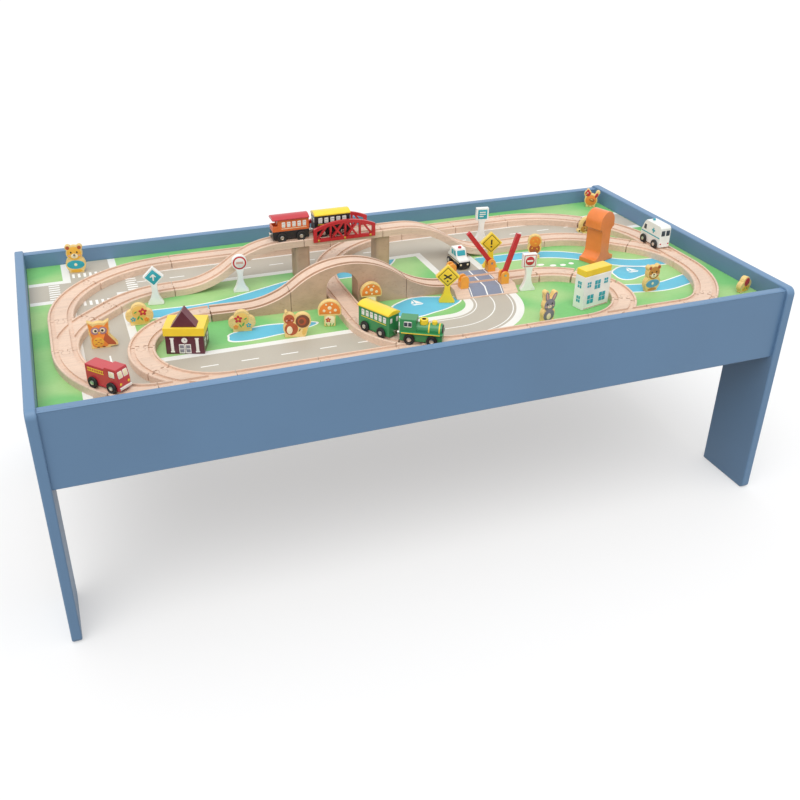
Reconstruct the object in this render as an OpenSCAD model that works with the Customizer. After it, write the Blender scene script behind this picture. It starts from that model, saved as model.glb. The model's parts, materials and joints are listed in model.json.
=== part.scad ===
// Children's train table: a painted tray on two slab ends, with a wooden railway laid in the tray.
// Frame: origin on the floor under the middle of the table, +X along its length, +Y to the back, +Z up.

/* [Table] */
// Length over the end panels
table_l = 1200; // [1180:1:1260]
// Width over the end panels
table_w = 610; // [600:1:640]
// Height of the end panels
table_h = 394; // [370:1:450]
// Thickness of the end panels and aprons
panel_t = 15; // [12:0.5:20]
// Height of the aprons
apron_h = 122; // [110:1:140]
// How far the aprons sit inside the edges of the end panels
apron_setback = 6; // [3:0.5:12]
// How far the aprons sit below the top of the end panels
apron_drop = 4; // [2:0.5:8]
// Width of each leg of an end panel
leg_w = 112; // [80:1:130]
// Corner radius at the top of an end panel
panel_top_r = 12; // [6:1:20]
// Corner radius at the foot of a leg
panel_foot_r = 9; // [4:1:12]
// Depth of the play surface below the top of the aprons
tray_depth = 26; // [20:1:34]
// Thickness of the playboard
board_t = 4; // [3:0.5:6]
// Section of the battens under the playboard
batten = 20; // [16:1:24]

/* [Fasteners] */
// Diameter of the connector bolts
bolt_d = 6; // [5:0.5:7]
// Length of a bolt under its head
bolt_l = 70; // [60:1:75]
// Diameter of the bolt heads
bolt_head_d = 16; // [13:0.5:17]
// Diameter of the barrel nuts
nut_d = 10; // [9:0.5:11]
// Diameter of the batten screws
screw_d = 4; // [3:0.5:4.5]
// Length of a batten screw
screw_l = 31; // [28:0.5:32]

/* [Track] */
// Width of a track strip
track_w = 40; // [39:0.5:41]
// Thickness of a track strip
track_h = 12; // [11:0.5:13]
// Distance between the middles of the two wheel grooves
gauge = 26; // [25:0.5:26.5]
// Width of a wheel groove
groove_w = 7; // [6.8:0.1:7.4]
// Depth of a wheel groove
groove_d = 3; // [2.5:0.1:3.5]
// Bevel along the top edges of a strip
track_bevel = 1; // [0.5:0.1:1.5]
// Diameter of a peg head
peg_d = 12; // [10:0.5:13]
// Distance from the end of a strip to the middle of its peg head
peg_reach = 11; // [10:0.5:13]
// Width of the neck of a peg
peg_neck = 6; // [5:0.5:7]
// Play round a peg in its socket
peg_play = 0.5; // [0.3:0.1:0.8]
// Gap between the ends of two strips that are joined
joint_gap = 0.4; // [0.3:0.1:0.8]
// Radius of the large curves
curve_r = 202; // [196:1:208]
// Radius of the tight curves in the front corners
corner_r = 76; // [70:1:84]
// Radius of the curves where the bridge line leaves the sides
side_r = 150; // [140:1:152]
// Radius of the curve where the green train stands
train_r = 130; // [126:1:140]
// Radius of the loop at the right end of the crossing line
return_r = 102; // [98:1:106]
// Gap from the left tray wall to the track
gap_left = 26; // [20:1:30]
// Gap from the right tray wall to the track
gap_right = 31; // [26:1:36]
// Gap from the front tray wall to the track
gap_front = 1; // [0.5:0.5:4]
// Gap from the back tray wall to the track
gap_back = 49; // [44:1:54]

/* [Bridge and crossing] */
// How far the raised track stands above the flat track
rise = 60; // [54:1:64]
// Length of the bridge deck
deck_l = 144; // [136:1:150]
// Length of the curved part of a bridge ramp
ramp_l = 180; // [170:1:190]
// Level stretch at the top of a bridge ramp
ramp_top = 36; // [30:1:40]
// Level stretch at the foot of the left bridge ramp
ramp_foot = 11; // [5:1:14]
// Distance of the bridge line behind the front line
bridge_back = 353; // [348:1:358]
// How far the middle of the bridge deck lies to the right of the line under it
deck_offset = 45; // [40:1:48]
// Width of a bridge pier along the track
pier_l = 26; // [20:1:27]
// Depth of a bridge pier
pier_w = 34; // [28:1:38]
// Length of the bridge trusses
truss_l = 112; // [100:1:124]
// Thickness of the bridge trusses
truss_t = 5; // [4:0.5:6]
// Height of a truss above the deck in its middle
truss_rise = 29; // [26:1:32]
// Half length of the viaduct hump
hump_half = 175; // [168:1:178]
// Length of the arched block of the viaduct
arch_block_l = 196; // [188:1:204]
// Width of the arch
arch_w = 54; // [52:1:58]
// Height of the arch above the playboard
arch_h = 59; // [57:1:60]
// Length of the level crossing along the track
crossing_l = 110; // [106:1:116]
// Width of the level crossing across the track
crossing_w = 104; // [98:1:110]
// Tilt of the crossing line against the table's length
line_tilt = 3; // [2:0.5:4]
// Length of a barrier arm from its pin to its tip
arm_l = 73; // [68:1:76]
// Diameter of the barrier pins
pin_d = 4; // [3:0.5:4.5]
// How far the near barrier arm is raised
near_arm_up = 107; // [60:1:110]
// How far the far barrier arm is raised
far_arm_up = 52; // [20:1:110]

/* [Vehicles] */
// Diameter of the railway wheels
wheel_d = 17; // [16:0.5:19]
// Thickness of a wheel
wheel_t = 3.4; // [3:0.1:3.6]
// Distance between the two axles of a vehicle
wheelbase = 34; // [30:1:36]
// Diameter of the axles
axle_d = 3; // [2.5:0.1:3.5]
// Width of the vehicle bodies between the wheels
body_w = 22; // [20:0.5:22]
// Length of the railway vehicles
car_l = 64; // [60:1:66]
// Height of the coaches above the track
coach_h = 43; // [40:1:48]
// Gap between coupled vehicles
coupling = 10; // [8:0.5:12]

/* [Figures] */
// Thickness of the wooden figures and signs
figure_t = 9; // [7:0.5:11]
// Height of the signs
sign_h = 66; // [60:1:72]
// Width of the station
station_w = 57; // [50:1:62]
// Depth of the station
station_d = 44; // [38:1:48]
// Width of the clinic
clinic_w = 58; // [52:1:60]
// Depth of the clinic
clinic_d = 22; // [18:1:26]
// Height of the tower
tower_h = 94; // [84:1:98]

/* [Hidden] */

$fn = 48;
// Small overlap that makes cuts run past a face
cut = 1;
// Clearance of a pin, bolt or axle in its hole
fit = 0.1;
// Gap that keeps a moving piece off its neighbour
clear = 0.3;

paint = "#6E8FB5";
beech = "#E8CFB6";
plywood = "#EFD9A6";
steel = "#B9BDC2";
red = "#B8242B";
yellow = "#F1CF3A";
green = "#2F8A4A";
black = "#1E1E1E";
white = "#F2F1EC";

apron_top = table_h - apron_drop;
apron_z = apron_top - apron_h;
board_z = apron_top - tray_depth;
tray_l = table_l - 2 * panel_t;
apron_y = table_w / 2 - apron_setback - panel_t / 2;
tray_w = 2 * (apron_y - panel_t / 2);
board_play = 0.5;

// Poses on the track plan are [x, y, heading].
function ahead(p, l) = [p[0] + l * cos(p[2]), p[1] + l * sin(p[2]), p[2]];
function beside(p, d) = [p[0] - d * sin(p[2]), p[1] + d * cos(p[2]), p[2]];
function turned(p, a) = [p[0], p[1], p[2] + a];
// Pose at the end of a curve of radius r: a is positive to the left and negative to the right.
function bent(p, r, a) = turned(beside(ahead(p, r * sin(abs(a))), sign(a) * r * (1 - cos(a))), a);
function lerp(a, b, t) = a + (b - a) * t;
// A place on the playboard, measured from a pose on the track plan or from a corner of the tray.
function near(p, dx, dy) = [p[0] + dx, p[1] + dy];
function corner(sx, sy, dx, dy) = [sx * (tray_l / 2 - dx), sy * (tray_w / 2 - dy)];

left_x = -tray_l / 2 + gap_left + track_w / 2;
right_x = tray_l / 2 - gap_right - track_w / 2;
front_y = -tray_w / 2 + gap_front + track_w / 2;
back_y = tray_w / 2 - gap_back - track_w / 2;
half_turn = 45;
side_y = front_y + curve_r * sin(half_turn) + corner_r * (1 - sin(half_turn));
side_leg = back_y - curve_r - side_y;
corner_dx = curve_r * (1 - cos(half_turn)) + corner_r * cos(half_turn);

// Switches: toe poses, main legs and branch turns.
side_switch_right = [right_x, side_y, 90];
side_switch_left = [left_x, side_y, 90];
side_shift = front_y + bridge_back - side_y;
side_link = (side_shift - side_r) / sin(half_turn);
back_leg = 144;
back_switch_x = 105;
back_switch = [back_switch_x, back_y, 180];
front_leg = 108;
tight_turn = 60;
train_switch = [back_switch_x - curve_r + train_r, front_y, 180];
return_switch_x = 250;
return_switch = [return_switch_x, front_y, 0];

// Branch from the back line to the front line, under the bridge and through the arch.
branch_top = bent(back_switch, curve_r, 2 * half_turn);
branch_l = branch_top[1] - (front_y + train_r);
branch_foot = ahead(branch_top, branch_l);

// Bridge line, laid from the right side to the left side: the deck crosses over the branch.
bridge_start = bent(bent_link(side_switch_right), side_r, half_turn);
function bent_link(p) = ahead(bent(p, side_r, half_turn), side_link);
bridge_y = bridge_start[1];
deck_start = [branch_top[0] + deck_offset + deck_l / 2, bridge_y, bridge_start[2]];
deck_end = ahead(deck_start, deck_l);
right_ramp_low = ahead(deck_start, -ramp_l - ramp_top);
left_ramp_low = ahead(deck_end, ramp_l + ramp_top + ramp_foot);
right_level_l = bridge_start[0] - right_ramp_low[0];
bridge_end = [left_x + side_shift, bridge_y, bridge_start[2]];
left_level_l = left_ramp_low[0] - bridge_end[0];
ramp_r = (ramp_l * ramp_l + rise * rise) / (4 * rise);
ramp_angle = 2 * atan(rise / ramp_l);

// Crossing line, laid from the return loop on the right to the loop on the left.
return_rest = (180 - line_tilt - tight_turn) / 3;
crossing_line = bent(return_switch, return_r, 180 - line_tilt);
lead_l = 54;
hump_tail = 2;
crossing_start = ahead(crossing_line, lead_l);
hump_start = ahead(crossing_start, crossing_l);
hump_middle = ahead(hump_start, hump_half + hump_tail);
left_lead = 51;
hump_end = ahead(hump_middle, hump_half + left_lead);
loop_r = (hump_end[1] - front_y) / (1 + cos(line_tilt));
loop_rest = (180 + line_tilt - tight_turn) / 3;
loop_switch = turned(bent(hump_end, loop_r, 180 + line_tilt), -180);
loop_leg = loop_switch[0] - (left_x + corner_dx);
hump_r = (hump_half * hump_half + rise * rise) / (4 * rise);

arch_offset = (hump_middle[0] - branch_top[0]) / cos(line_tilt);

// Wheels and axles of the railway vehicles, measured from the top of the track.
wheel_r = wheel_d / 2;
axle_z = wheel_r - groove_d + clear;
rail_z = board_z + track_h;
body_low = 2;

module paint_color() { color(paint) children(); }
module beech_color() { color(beech) children(); }

module at(p, z = 0) { translate([p[0], p[1], z]) rotate(p[2]) children(); }

// Rectangle standing on the X axis, with round top and foot corners.
module rounded_rect(w, h, top_r, foot_r) {
  translate([-w / 2, foot_r]) square([w, h - top_r - foot_r]);
  translate([-w / 2 + top_r, h - top_r - cut]) square([w - 2 * top_r, top_r + cut]);
  translate([-w / 2 + foot_r, 0]) square([w - 2 * foot_r, foot_r + cut]);
  for (s = [-1, 1]) {
    translate([s * (w / 2 - top_r), h - top_r]) circle(top_r);
    translate([s * (w / 2 - foot_r), foot_r]) circle(foot_r);
  }
}

// Upright plate: a side view drawn in X and Z, spread evenly about the XZ plane.
module plate(t) { translate([0, t / 2, 0]) rotate([90, 0, 0]) linear_extrude(t) children(); }

// Shape drawn in Y and Z, carried along +X.
module along(l) { rotate([90, 0, 90]) linear_extrude(l) children(); }

// Table

bolt_z = [apron_z + 22, apron_z + 56];
head_t = 2.5;
nut_inset = bolt_l - panel_t + head_t + clear - 8;
nut_l = panel_t - 3;
batten_z = board_z - board_t - batten;
screw_z = batten_z + batten / 2;
screw_head_h = 2.2;
long_screws = 6;
short_screws = 4;
long_batten_l = tray_l - 4;
short_batten_l = tray_w - 2 * batten - 4;
bearer_l = tray_w - 2 * batten - 2 * clear;
screw_inset = 60;

module each_bolt() {
  for (sx = [-1, 1], sy = [-1, 1], z = bolt_z)
    translate([sx * table_l / 2, sy * apron_y, z]) rotate([0, -90 * sx, 0]) children();
}

module each_long_screw() {
  for (s = [-1, 1], i = [0 : long_screws - 1])
    translate([lerp(-1, 1, i / (long_screws - 1)) * (long_batten_l / 2 - screw_inset),
               s * (tray_w / 2 - batten), screw_z]) rotate([-90 * s, 0, 0]) children();
}

module each_short_screw() {
  for (s = [-1, 1], i = [0 : short_screws - 1])
    translate([s * (tray_l / 2 - batten),
               lerp(-1, 1, i / (short_screws - 1)) * (short_batten_l / 2 - screw_inset), screw_z])
      rotate([0, 90 * s, 0]) children();
}

module screw(play = 0) {
  r = screw_d / 2;
  cylinder(h = screw_l + play, r = r + play);
  cylinder(h = screw_head_h + play, r1 = r + screw_head_h + play, r2 = r + play);
}

// Slab end with two legs: the opening between the legs ends level with the aprons.
module end_panel(s) {
  opening_w = table_w - 2 * leg_w;
  opening_r = 24;
  paint_color() difference() {
    translate([s * (table_l / 2 - panel_t / 2) - panel_t / 2, 0, 0]) along(panel_t) difference() {
      rounded_rect(table_w, table_h, panel_top_r, panel_foot_r);
      difference() {
        translate([-opening_w / 2, -cut]) square([opening_w, apron_z + cut]);
        for (e = [-1, 1]) translate([e * opening_w / 2, apron_z])
          difference() {
            translate([-opening_r, -opening_r]) square(2 * opening_r);
            translate([-e * opening_r, -opening_r]) circle(opening_r);
          }
      }
    }
    each_bolt() {
      translate([0, 0, -cut]) cylinder(h = bolt_l, d = bolt_d + 2 * fit);
      translate([0, 0, -cut]) cylinder(h = head_t + clear + cut, d = bolt_head_d + 2 * clear);
    }
    each_short_screw() screw(fit);
  }
}

module left_end_panel() { end_panel(-1); }
module right_end_panel() { end_panel(1); }

module apron(s) {
  paint_color() difference() {
    translate([-tray_l / 2, s * apron_y - panel_t / 2, apron_z]) cube([tray_l, panel_t, apron_h]);
    each_bolt() cylinder(h = head_t + bolt_l + 3 * clear, d = bolt_d + 2 * fit);
    each_nut() cylinder(h = nut_l + panel_t, d = nut_d + 2 * fit);
    each_long_screw() screw(fit);
  }
}

module front_apron() { apron(-1); }
module back_apron() { apron(1); }

module each_nut() {
  for (sx = [-1, 1], sy = [-1, 1], z = bolt_z)
    translate([sx * (tray_l / 2 - nut_inset), sy * (apron_y + panel_t / 2 - 2.5), z])
      rotate([90 * sy, 0, 0]) children();
}

// Bolts with a low head and a hexagon socket, sunk flush in the end panels.
module connector_bolts() {
  color(steel) each_bolt() difference() {
    translate([0, 0, clear]) union() {
      cylinder(h = head_t, d = bolt_head_d);
      cylinder(h = bolt_l + head_t, d = bolt_d);
    }
    cylinder(h = head_t, d = 4, $fn = 6);
  }
}

module barrel_nuts() {
  color(steel) difference() {
    each_nut() cylinder(h = nut_l, d = nut_d);
    each_bolt() cylinder(h = bolt_l + panel_t, d = bolt_d + fit);
  }
}

module playboard() {
  color("#8FC56F") translate([-tray_l / 2 + board_play, -tray_w / 2 + board_play, board_z - board_t])
    cube([tray_l - 2 * board_play, tray_w - 2 * board_play, board_t]);
}

// Battens round the tray and one bearer across its middle.
module battens() {
  color(plywood) difference() {
    union() {
      for (s = [-1, 1]) {
        translate([-long_batten_l / 2, s * (tray_w / 2 - batten / 2) - batten / 2, batten_z])
          cube([long_batten_l, batten, batten]);
        translate([s * (tray_l / 2 - batten / 2) - batten / 2, -short_batten_l / 2, batten_z])
          cube([batten, short_batten_l, batten]);
      }
      translate([-batten / 2, -bearer_l / 2, batten_z]) cube([batten, bearer_l, batten]);
    }
    each_long_screw() screw(fit);
    each_short_screw() screw(fit);
  }
}

module batten_screws() {
  color(steel) {
    each_long_screw() screw();
    each_short_screw() screw();
  }
}

// Track

// Section of a strip: bevelled top edges, and two wheel grooves unless it is left plain.
module strip_section(grooved = true) {
  difference() {
    polygon([[-track_w / 2, 0], [track_w / 2, 0], [track_w / 2, track_h - track_bevel],
             [track_w / 2 - track_bevel, track_h], [track_bevel - track_w / 2, track_h],
             [-track_w / 2, track_h - track_bevel]]);
    if (grooved) groove_section();
  }
}

module groove_section() {
  for (s = [-1, 1])
    translate([s * gauge / 2 - groove_w / 2, track_h - groove_d]) square([groove_w, groove_d + cut]);
}

// Sweeps a section round a curve that starts at the origin along +X: a is positive to the left.
module bend(r, a) {
  mirror([0, a < 0 ? 1 : 0, 0]) translate([0, r, 0]) rotate(-90)
    rotate_extrude(angle = abs(a), $fn = 120) translate([r, 0]) children();
}

// Keyhole shape of a peg, or of its socket when it has play.
module peg_shape(play = 0) {
  translate([-cut, -peg_neck / 2 - play, 0]) cube([peg_reach + cut, peg_neck + 2 * play, track_h + 2 * play]);
  translate([peg_reach, 0, 0]) cylinder(h = track_h + 2 * play, d = peg_d + 2 * play);
}

module peg() { peg_shape(); }
module keyhole() { translate([0, 0, -peg_play]) peg_shape(peg_play); }

// End of a strip that takes a peg: its keyhole, and the thin gap to the strip before it.
module socket() {
  keyhole();
  translate([-cut, -track_w / 2 - peg_play, -cut])
    cube([cut + joint_gap, track_w + 2 * peg_play, track_h + 2 * cut]);
}

module straight_piece(l) {
  difference() {
    union() {
      along(l) strip_section();
      translate([l, 0, 0]) peg();
    }
    socket();
  }
}

module curve_piece(r, a) {
  difference() {
    union() {
      bend(r, a) strip_section();
      at(bent([0, 0, 0], r, a)) peg();
    }
    socket();
  }
}

// Switch with its toe at the origin: the main leg runs along +X and the branch turns by a.
module switch_piece(l, r, a, toe_peg = false) {
  exits = [[l, 0, 0], bent([0, 0, 0], r, a)];
  difference() {
    union() {
      along(l) strip_section(false);
      bend(r, a) strip_section(false);
      if (toe_peg) at([0, 0, 180]) peg();
      if (!toe_peg) for (e = exits) at(e) peg();
    }
    translate([-cut, 0, 0]) along(l + 2 * cut) groove_section();
    bend(r, a) groove_section();
    if (toe_peg) for (e = exits) at(turned(e, 180)) socket();
    if (!toe_peg) socket();
  }
}

module lay(p) { at(p, board_z) children(); }

// A run of equal curves, each beginning where the last one ends.
module curve_run(p, r, a, count) {
  for (i = [0 : count - 1]) lay(bent(p, r, a * i)) curve_piece(r, a);
}

// A run of equal straights over a whole length.
module straight_run(p, length, count) {
  for (i = [0 : count - 1]) lay(ahead(p, length * i / count)) straight_piece(length / count);
}

front_left = [left_x + corner_dx, front_y, 0];
front_right = [right_x - corner_dx, front_y, 0];
right_corner = bent(front_right, corner_r, half_turn);
left_corner = bent([left_x, side_y, -90], curve_r, half_turn);
right_top = [right_x, back_y - curve_r, 90];
left_top = [left_x + curve_r, back_y, 180];

module outer_curves() {
  beech_color() {
    curve_run(right_corner, curve_r, half_turn, 1);
    curve_run(right_top, curve_r, half_turn, 2);
    curve_run(left_top, curve_r, half_turn, 2);
    curve_run([left_x, side_y, -90], curve_r, half_turn, 1);
  }
}

module inner_curves() {
  beech_color() {
    curve_run(front_right, corner_r, half_turn, 1);
    curve_run(left_corner, corner_r, half_turn, 1);
    curve_run(bent_link(side_switch_right), side_r, half_turn, 1);
    curve_run(bridge_end, side_r, half_turn, 1);
    curve_run(bent(return_switch, return_r, tight_turn), return_r, return_rest, 3);
    curve_run(hump_end, loop_r, loop_rest, 3);
    curve_run(bent(back_switch, curve_r, half_turn), curve_r, half_turn, 1);
    curve_run(branch_foot, train_r, half_turn, 1);
  }
}

// A stretch shorter than this is left open at the joint.
shortest_piece = 1;

module straight_tracks() {
  front_gap = train_switch[0] - front_leg - loop_switch[0];
  return_leg_end = ahead(return_switch, front_leg);
  beech_color() {
    straight_run([loop_switch[0], front_y, 0], front_gap, 2);
    straight_run([train_switch[0], front_y, 0], return_switch[0] - train_switch[0], 2);
    straight_run(return_leg_end, front_right[0] - return_leg_end[0], 1);
    straight_run([right_x - curve_r, back_y, 180], right_x - curve_r - back_switch[0], 2);
    straight_run(ahead(back_switch, back_leg), back_switch[0] - back_leg - left_top[0], 2);
    straight_run(bent(side_switch_right, side_r, half_turn), side_link, 1);
    straight_run(bent(bridge_end, side_r, half_turn), side_link, 1);
    straight_run(bridge_start, right_level_l, 1);
    if (left_level_l > shortest_piece) straight_run(left_ramp_low, left_level_l, 1);
    straight_run(crossing_line, lead_l, 1);
    straight_run(branch_top, branch_l, 1);
  }
}

module switch_tracks() {
  beech_color() {
    lay(side_switch_right) switch_piece(side_leg, side_r, half_turn);
    lay(side_switch_left) switch_piece(side_leg, side_r, -half_turn, true);
    lay(back_switch) switch_piece(back_leg, curve_r, half_turn);
    lay(train_switch) switch_piece(front_leg, train_r, -half_turn, true);
    lay(return_switch) switch_piece(front_leg, return_r, tight_turn);
    lay(loop_switch) switch_piece(loop_leg, loop_r, -tight_turn, true);
  }
}

// Bridge

// Strip that climbs along +X in two equal arcs, with level stretches before and after them.
module ramp_piece(foot, top, peg_high) {
  high_x = foot + ramp_l + top;
  difference() {
    union() {
      if (foot > 0) along(foot) strip_section();
      translate([foot, 0, ramp_r]) rotate([90, 0, 0]) rotate(-90)
        rotate_extrude(angle = ramp_angle, $fn = 120) translate([ramp_r, 0]) rotate(90) strip_section();
      translate([foot + ramp_l, 0, rise - ramp_r]) rotate([90, 0, 0]) rotate(90)
        rotate_extrude(angle = ramp_angle, $fn = 120) translate([ramp_r, 0]) rotate(-90) strip_section();
      translate([foot + ramp_l, 0, rise]) along(top) strip_section();
      if (peg_high) translate([high_x, 0, rise]) peg();
      if (!peg_high) rotate(180) peg();
    }
    if (peg_high) socket();
    if (!peg_high) translate([high_x, 0, rise]) rotate(180) socket();
  }
}

module bridge_ramps() {
  beech_color() {
    lay(right_ramp_low) ramp_piece(0, ramp_top, true);
    lay(turned(left_ramp_low, 180)) ramp_piece(ramp_foot, ramp_top, false);
  }
}

module bridge_deck() {
  beech_color() translate([0, 0, rise]) lay(deck_start) straight_piece(deck_l);
}

// Side view of a truss: bottom chord, end posts, bowed top chord and crossed braces.
module truss_outline() {
  chord = 6;
  end_h = 17 + chord;
  mid_h = truss_rise + chord;
  bow_r = (truss_l * truss_l / 4 + pow(mid_h - end_h, 2)) / (2 * (mid_h - end_h));
  brace = 3.5;
  bays = 4;
  bay_l = (truss_l - chord) / bays;
  intersection() {
    translate([-truss_l / 2, 0]) square([truss_l, mid_h]);
    translate([0, mid_h - bow_r]) circle(bow_r, $fn = 120);
    union() {
      translate([-truss_l / 2, 0]) square([truss_l, chord]);
      for (i = [0 : bays]) translate([-truss_l / 2 + i * bay_l, 0]) square([i % bays == 0 ? chord : brace, mid_h]);
      for (i = [0 : bays - 1]) for (up = i == 0 ? [1] : i == bays - 1 ? [-1] : [-1, 1])
        translate([-truss_l / 2 + chord / 2 + (i + 0.5) * bay_l, mid_h / 2])
          rotate(up * atan(mid_h / bay_l)) square([2 * mid_h, brace], center = true);
      difference() {
        translate([-truss_l / 2, 0]) square([truss_l, mid_h]);
        translate([0, mid_h - bow_r]) circle(bow_r - chord, $fn = 120);
      }
    }
  }
}

module bridge_trusses() {
  color(red) for (s = [-1, 1])
    lay(beside(ahead(deck_start, deck_l / 2), s * (track_w / 2 + truss_t / 2)))
      translate([0, 0, rise + track_h - 6]) plate(truss_t) truss_outline();
}

// Piers: blocks with round upright edges under both ends of the deck.
module bridge_piers() {
  edge_r = 6;
  beech_color() for (p = [ahead(deck_start, -pier_shift), ahead(deck_end, pier_shift)])
    lay(p) linear_extrude(rise) translate([0, -pier_w / 2]) rounded_rect(pier_l, pier_w, edge_r, edge_r);
}
pier_shift = 2;

// Viaduct

// Side view of the hump, lowered by d: a crest arc between two foot arcs.
module hump_outline(d) {
  m = hump_half / 2;
  top = track_h + rise;
  intersection() {
    translate([-m, 0]) square([2 * m, top]);
    translate([0, top - hump_r]) circle(hump_r - d, $fn = 180);
  }
  for (s = [-1, 1]) difference() {
    translate([s < 0 ? -hump_half : m, 0]) square([hump_half - m, top - rise / 2 + cut]);
    translate([s * hump_half, track_h + hump_r]) circle(hump_r + d, $fn = 180);
  }
  for (s = [-1, 1]) translate([s < 0 ? -hump_half - left_lead : hump_half, 0])
    square([left_lead, track_h - d]);
}

// The stretch of the hump from x0 to x1, cut in slabs so that the grooves follow its crest.
module hump_stretch(x0, x1) {
  edges = [-track_w / 2, -(gauge + groove_w) / 2, -(gauge - groove_w) / 2,
           (gauge - groove_w) / 2, (gauge + groove_w) / 2, track_w / 2];
  for (i = [0 : len(edges) - 2])
    translate([0, edges[i + 1], 0]) rotate([90, 0, 0]) linear_extrude(edges[i + 1] - edges[i])
      intersection() {
        hump_outline(i % 2 == 1 ? groove_d : 0);
        translate([x0, 0]) square([x1 - x0, track_h + rise]);
      }
}

module hump_frame() { at(hump_middle, board_z) children(); }

module viaduct_arch() {
  half = arch_block_l / 2;
  beech_color() hump_frame() difference() {
    hump_stretch(-half, half);
    translate([arch_offset, 0, 0]) plate(2 * track_w) {
      translate([-arch_w / 2, -cut]) square([arch_w, arch_h - arch_w / 2 + cut]);
      translate([0, arch_h - arch_w / 2]) circle(d = arch_w);
    }
  }
}

module viaduct_ramps() {
  half = arch_block_l / 2;
  beech_color() hump_frame() {
    difference() {
      hump_stretch(-hump_half - hump_tail, -half);
      translate([-hump_half - hump_tail, 0, 0]) socket();
    }
    union() {
      hump_stretch(half, hump_half + left_lead);
      translate([hump_half + left_lead, 0, 0]) peg();
    }
  }
}

// Level crossing

post_x = 37;
post_y = 29;
post_w = 14;
post_d = 15;
pivot_z = 15;
slot_w = 7;
arm_w = 6;
arm_h = 8;
crossing_middle = turned(ahead(crossing_start, crossing_l / 2), 180);

module crossing_frame() { at(crossing_middle, board_z) children(); }

// Base with sloped road approaches, flush with the track between them.
module crossing_track() {
  flat = 36;
  lip = 1.5;
  beech_color() crossing_frame() difference() {
    union() {
      translate([-crossing_l / 2, 0, 0]) along(crossing_l)
        polygon([[-crossing_w / 2, 0], [crossing_w / 2, 0], [crossing_w / 2, lip], [flat, track_h],
                 [-flat, track_h], [-crossing_w / 2, lip]]);
      translate([-crossing_l / 2, 0, 0]) rotate(180) peg();
    }
    translate([-crossing_l / 2 - cut, 0, 0]) along(crossing_l + 2 * cut) groove_section();
    translate([crossing_l / 2, 0, 0]) rotate(180) keyhole();
  }
}

// Forked post: two round cheeks with a slot between them, and a cross hole when it holds a pin.
module forked_post(bored) {
  floor_z = pivot_z - arm_h / 2 - 2 * clear;
  difference() {
    plate(post_d) {
      translate([-post_w / 2, 0]) square([post_w, pivot_z]);
      translate([0, pivot_z]) circle(d = post_w);
    }
    translate([-post_w, -slot_w / 2, floor_z]) cube([2 * post_w, slot_w, 2 * pivot_z]);
    if (bored) translate([0, post_d, pivot_z]) rotate([90, 0, 0])
      cylinder(h = 2 * post_d, d = pin_d + 2 * fit);
  }
}

module barrier_posts() {
  color("#F0A63A") crossing_frame() translate([0, 0, track_h]) for (sy = [-1, 1]) {
    translate([post_x, sy * post_y, 0]) forked_post(true);
    translate([post_x - arm_l, sy * post_y, 0]) forked_post(false);
  }
}

module barrier_pins() {
  color(steel) crossing_frame() for (sy = [-1, 1])
    translate([post_x, sy * post_y + post_d / 2, track_h + pivot_z]) rotate([90, 0, 0])
      cylinder(h = post_d, d = pin_d);
}

// Arm with a round pivot end and a pin hole, raised by an angle from level.
module barrier_arm(sy, up) {
  color(red) crossing_frame() translate([post_x, sy * post_y, track_h + pivot_z]) rotate([0, up, 0])
    difference() {
      plate(arm_w) {
        translate([-arm_l, -arm_h / 2]) square([arm_l, arm_h]);
        circle(d = arm_h);
      }
      translate([0, arm_w, 0]) rotate([90, 0, 0]) cylinder(h = 2 * arm_w, d = pin_d + 2 * fit);
    }
}

module near_barrier_arm() { barrier_arm(-1, near_arm_up); }
module far_barrier_arm() { barrier_arm(1, far_arm_up); }

// Vehicles, drawn with their middle at the origin, +X forward and the top of the track at z = 0.

// Axle with two wheels: each wheel has a raised hub on its outer face.
module wheelset(d = wheel_d, spread = gauge) {
  hub_d = 0.42 * d;
  hub_h = 0.6;
  rotate([90, 0, 0]) {
    cylinder(h = spread, d = axle_d, center = true);
    for (s = [-1, 1]) {
      translate([0, 0, s * spread / 2]) cylinder(h = wheel_t, d = d, center = true);
      translate([0, 0, s * (spread / 2 + wheel_t / 2)]) cylinder(h = 2 * hub_h, d = hub_d, center = true);
    }
  }
}

module axle_bores(base = wheelbase, z = axle_z) {
  for (s = [-1, 1]) translate([s * base / 2, 0, z]) rotate([90, 0, 0])
    cylinder(h = 3 * body_w, d = axle_d + 2 * fit, center = true);
}

// Couplers at the ends of a vehicle: a short bar that carries a magnet disc.
coupler_play = 0.6;
coupler_l = coupling / 2 - coupler_play;
coupler_z = 10;
coupler_d = 4;
magnet_d = 7;
magnet_t = 1.6;

module couplers(ends = [-1, 1]) {
  for (s = ends) translate([s * car_l / 2, 0, coupler_z]) rotate([0, 90 * s, 0]) {
    translate([0, 0, -cut]) cylinder(h = coupler_l + cut, d = coupler_d);
    translate([0, 0, coupler_l - magnet_t]) cylinder(h = magnet_t, d = magnet_d);
  }
}

// Body of a closed coach under its roof.
module coach_block(l, h) {
  translate([-l / 2, -body_w / 2, body_low]) cube([l, body_w, h - body_low]);
}

// Coach roof: a shallow arch with overhanging eaves, along X.
module coach_roof(l, z, thick) {
  eave = 2.5;
  half = body_w / 2 + eave;
  crown = thick - 2.5;
  roof_r = (half * half + crown * crown) / (2 * crown);
  translate([-l / 2, 0, z]) along(l) intersection() {
    translate([-half, 0]) square([2 * half, thick]);
    translate([0, thick - roof_r]) circle(roof_r, $fn = 90);
  }
}

roof_t = 7;
roof_over = 1;

// Wheelset at one end of a vehicle's frame.
module vehicle_wheels(end) { translate([end * wheelbase / 2, 0, axle_z]) wheelset(); }

// Vehicle frames
curve_inset = 1.1;
engine_turn = 59;
train_step = (car_l + coupling) / train_r * 180 / PI;
truck_turn = 41;
orange_coach_back = 20;
ambulance_ahead = 90;
patrol_gap = 41;

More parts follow.
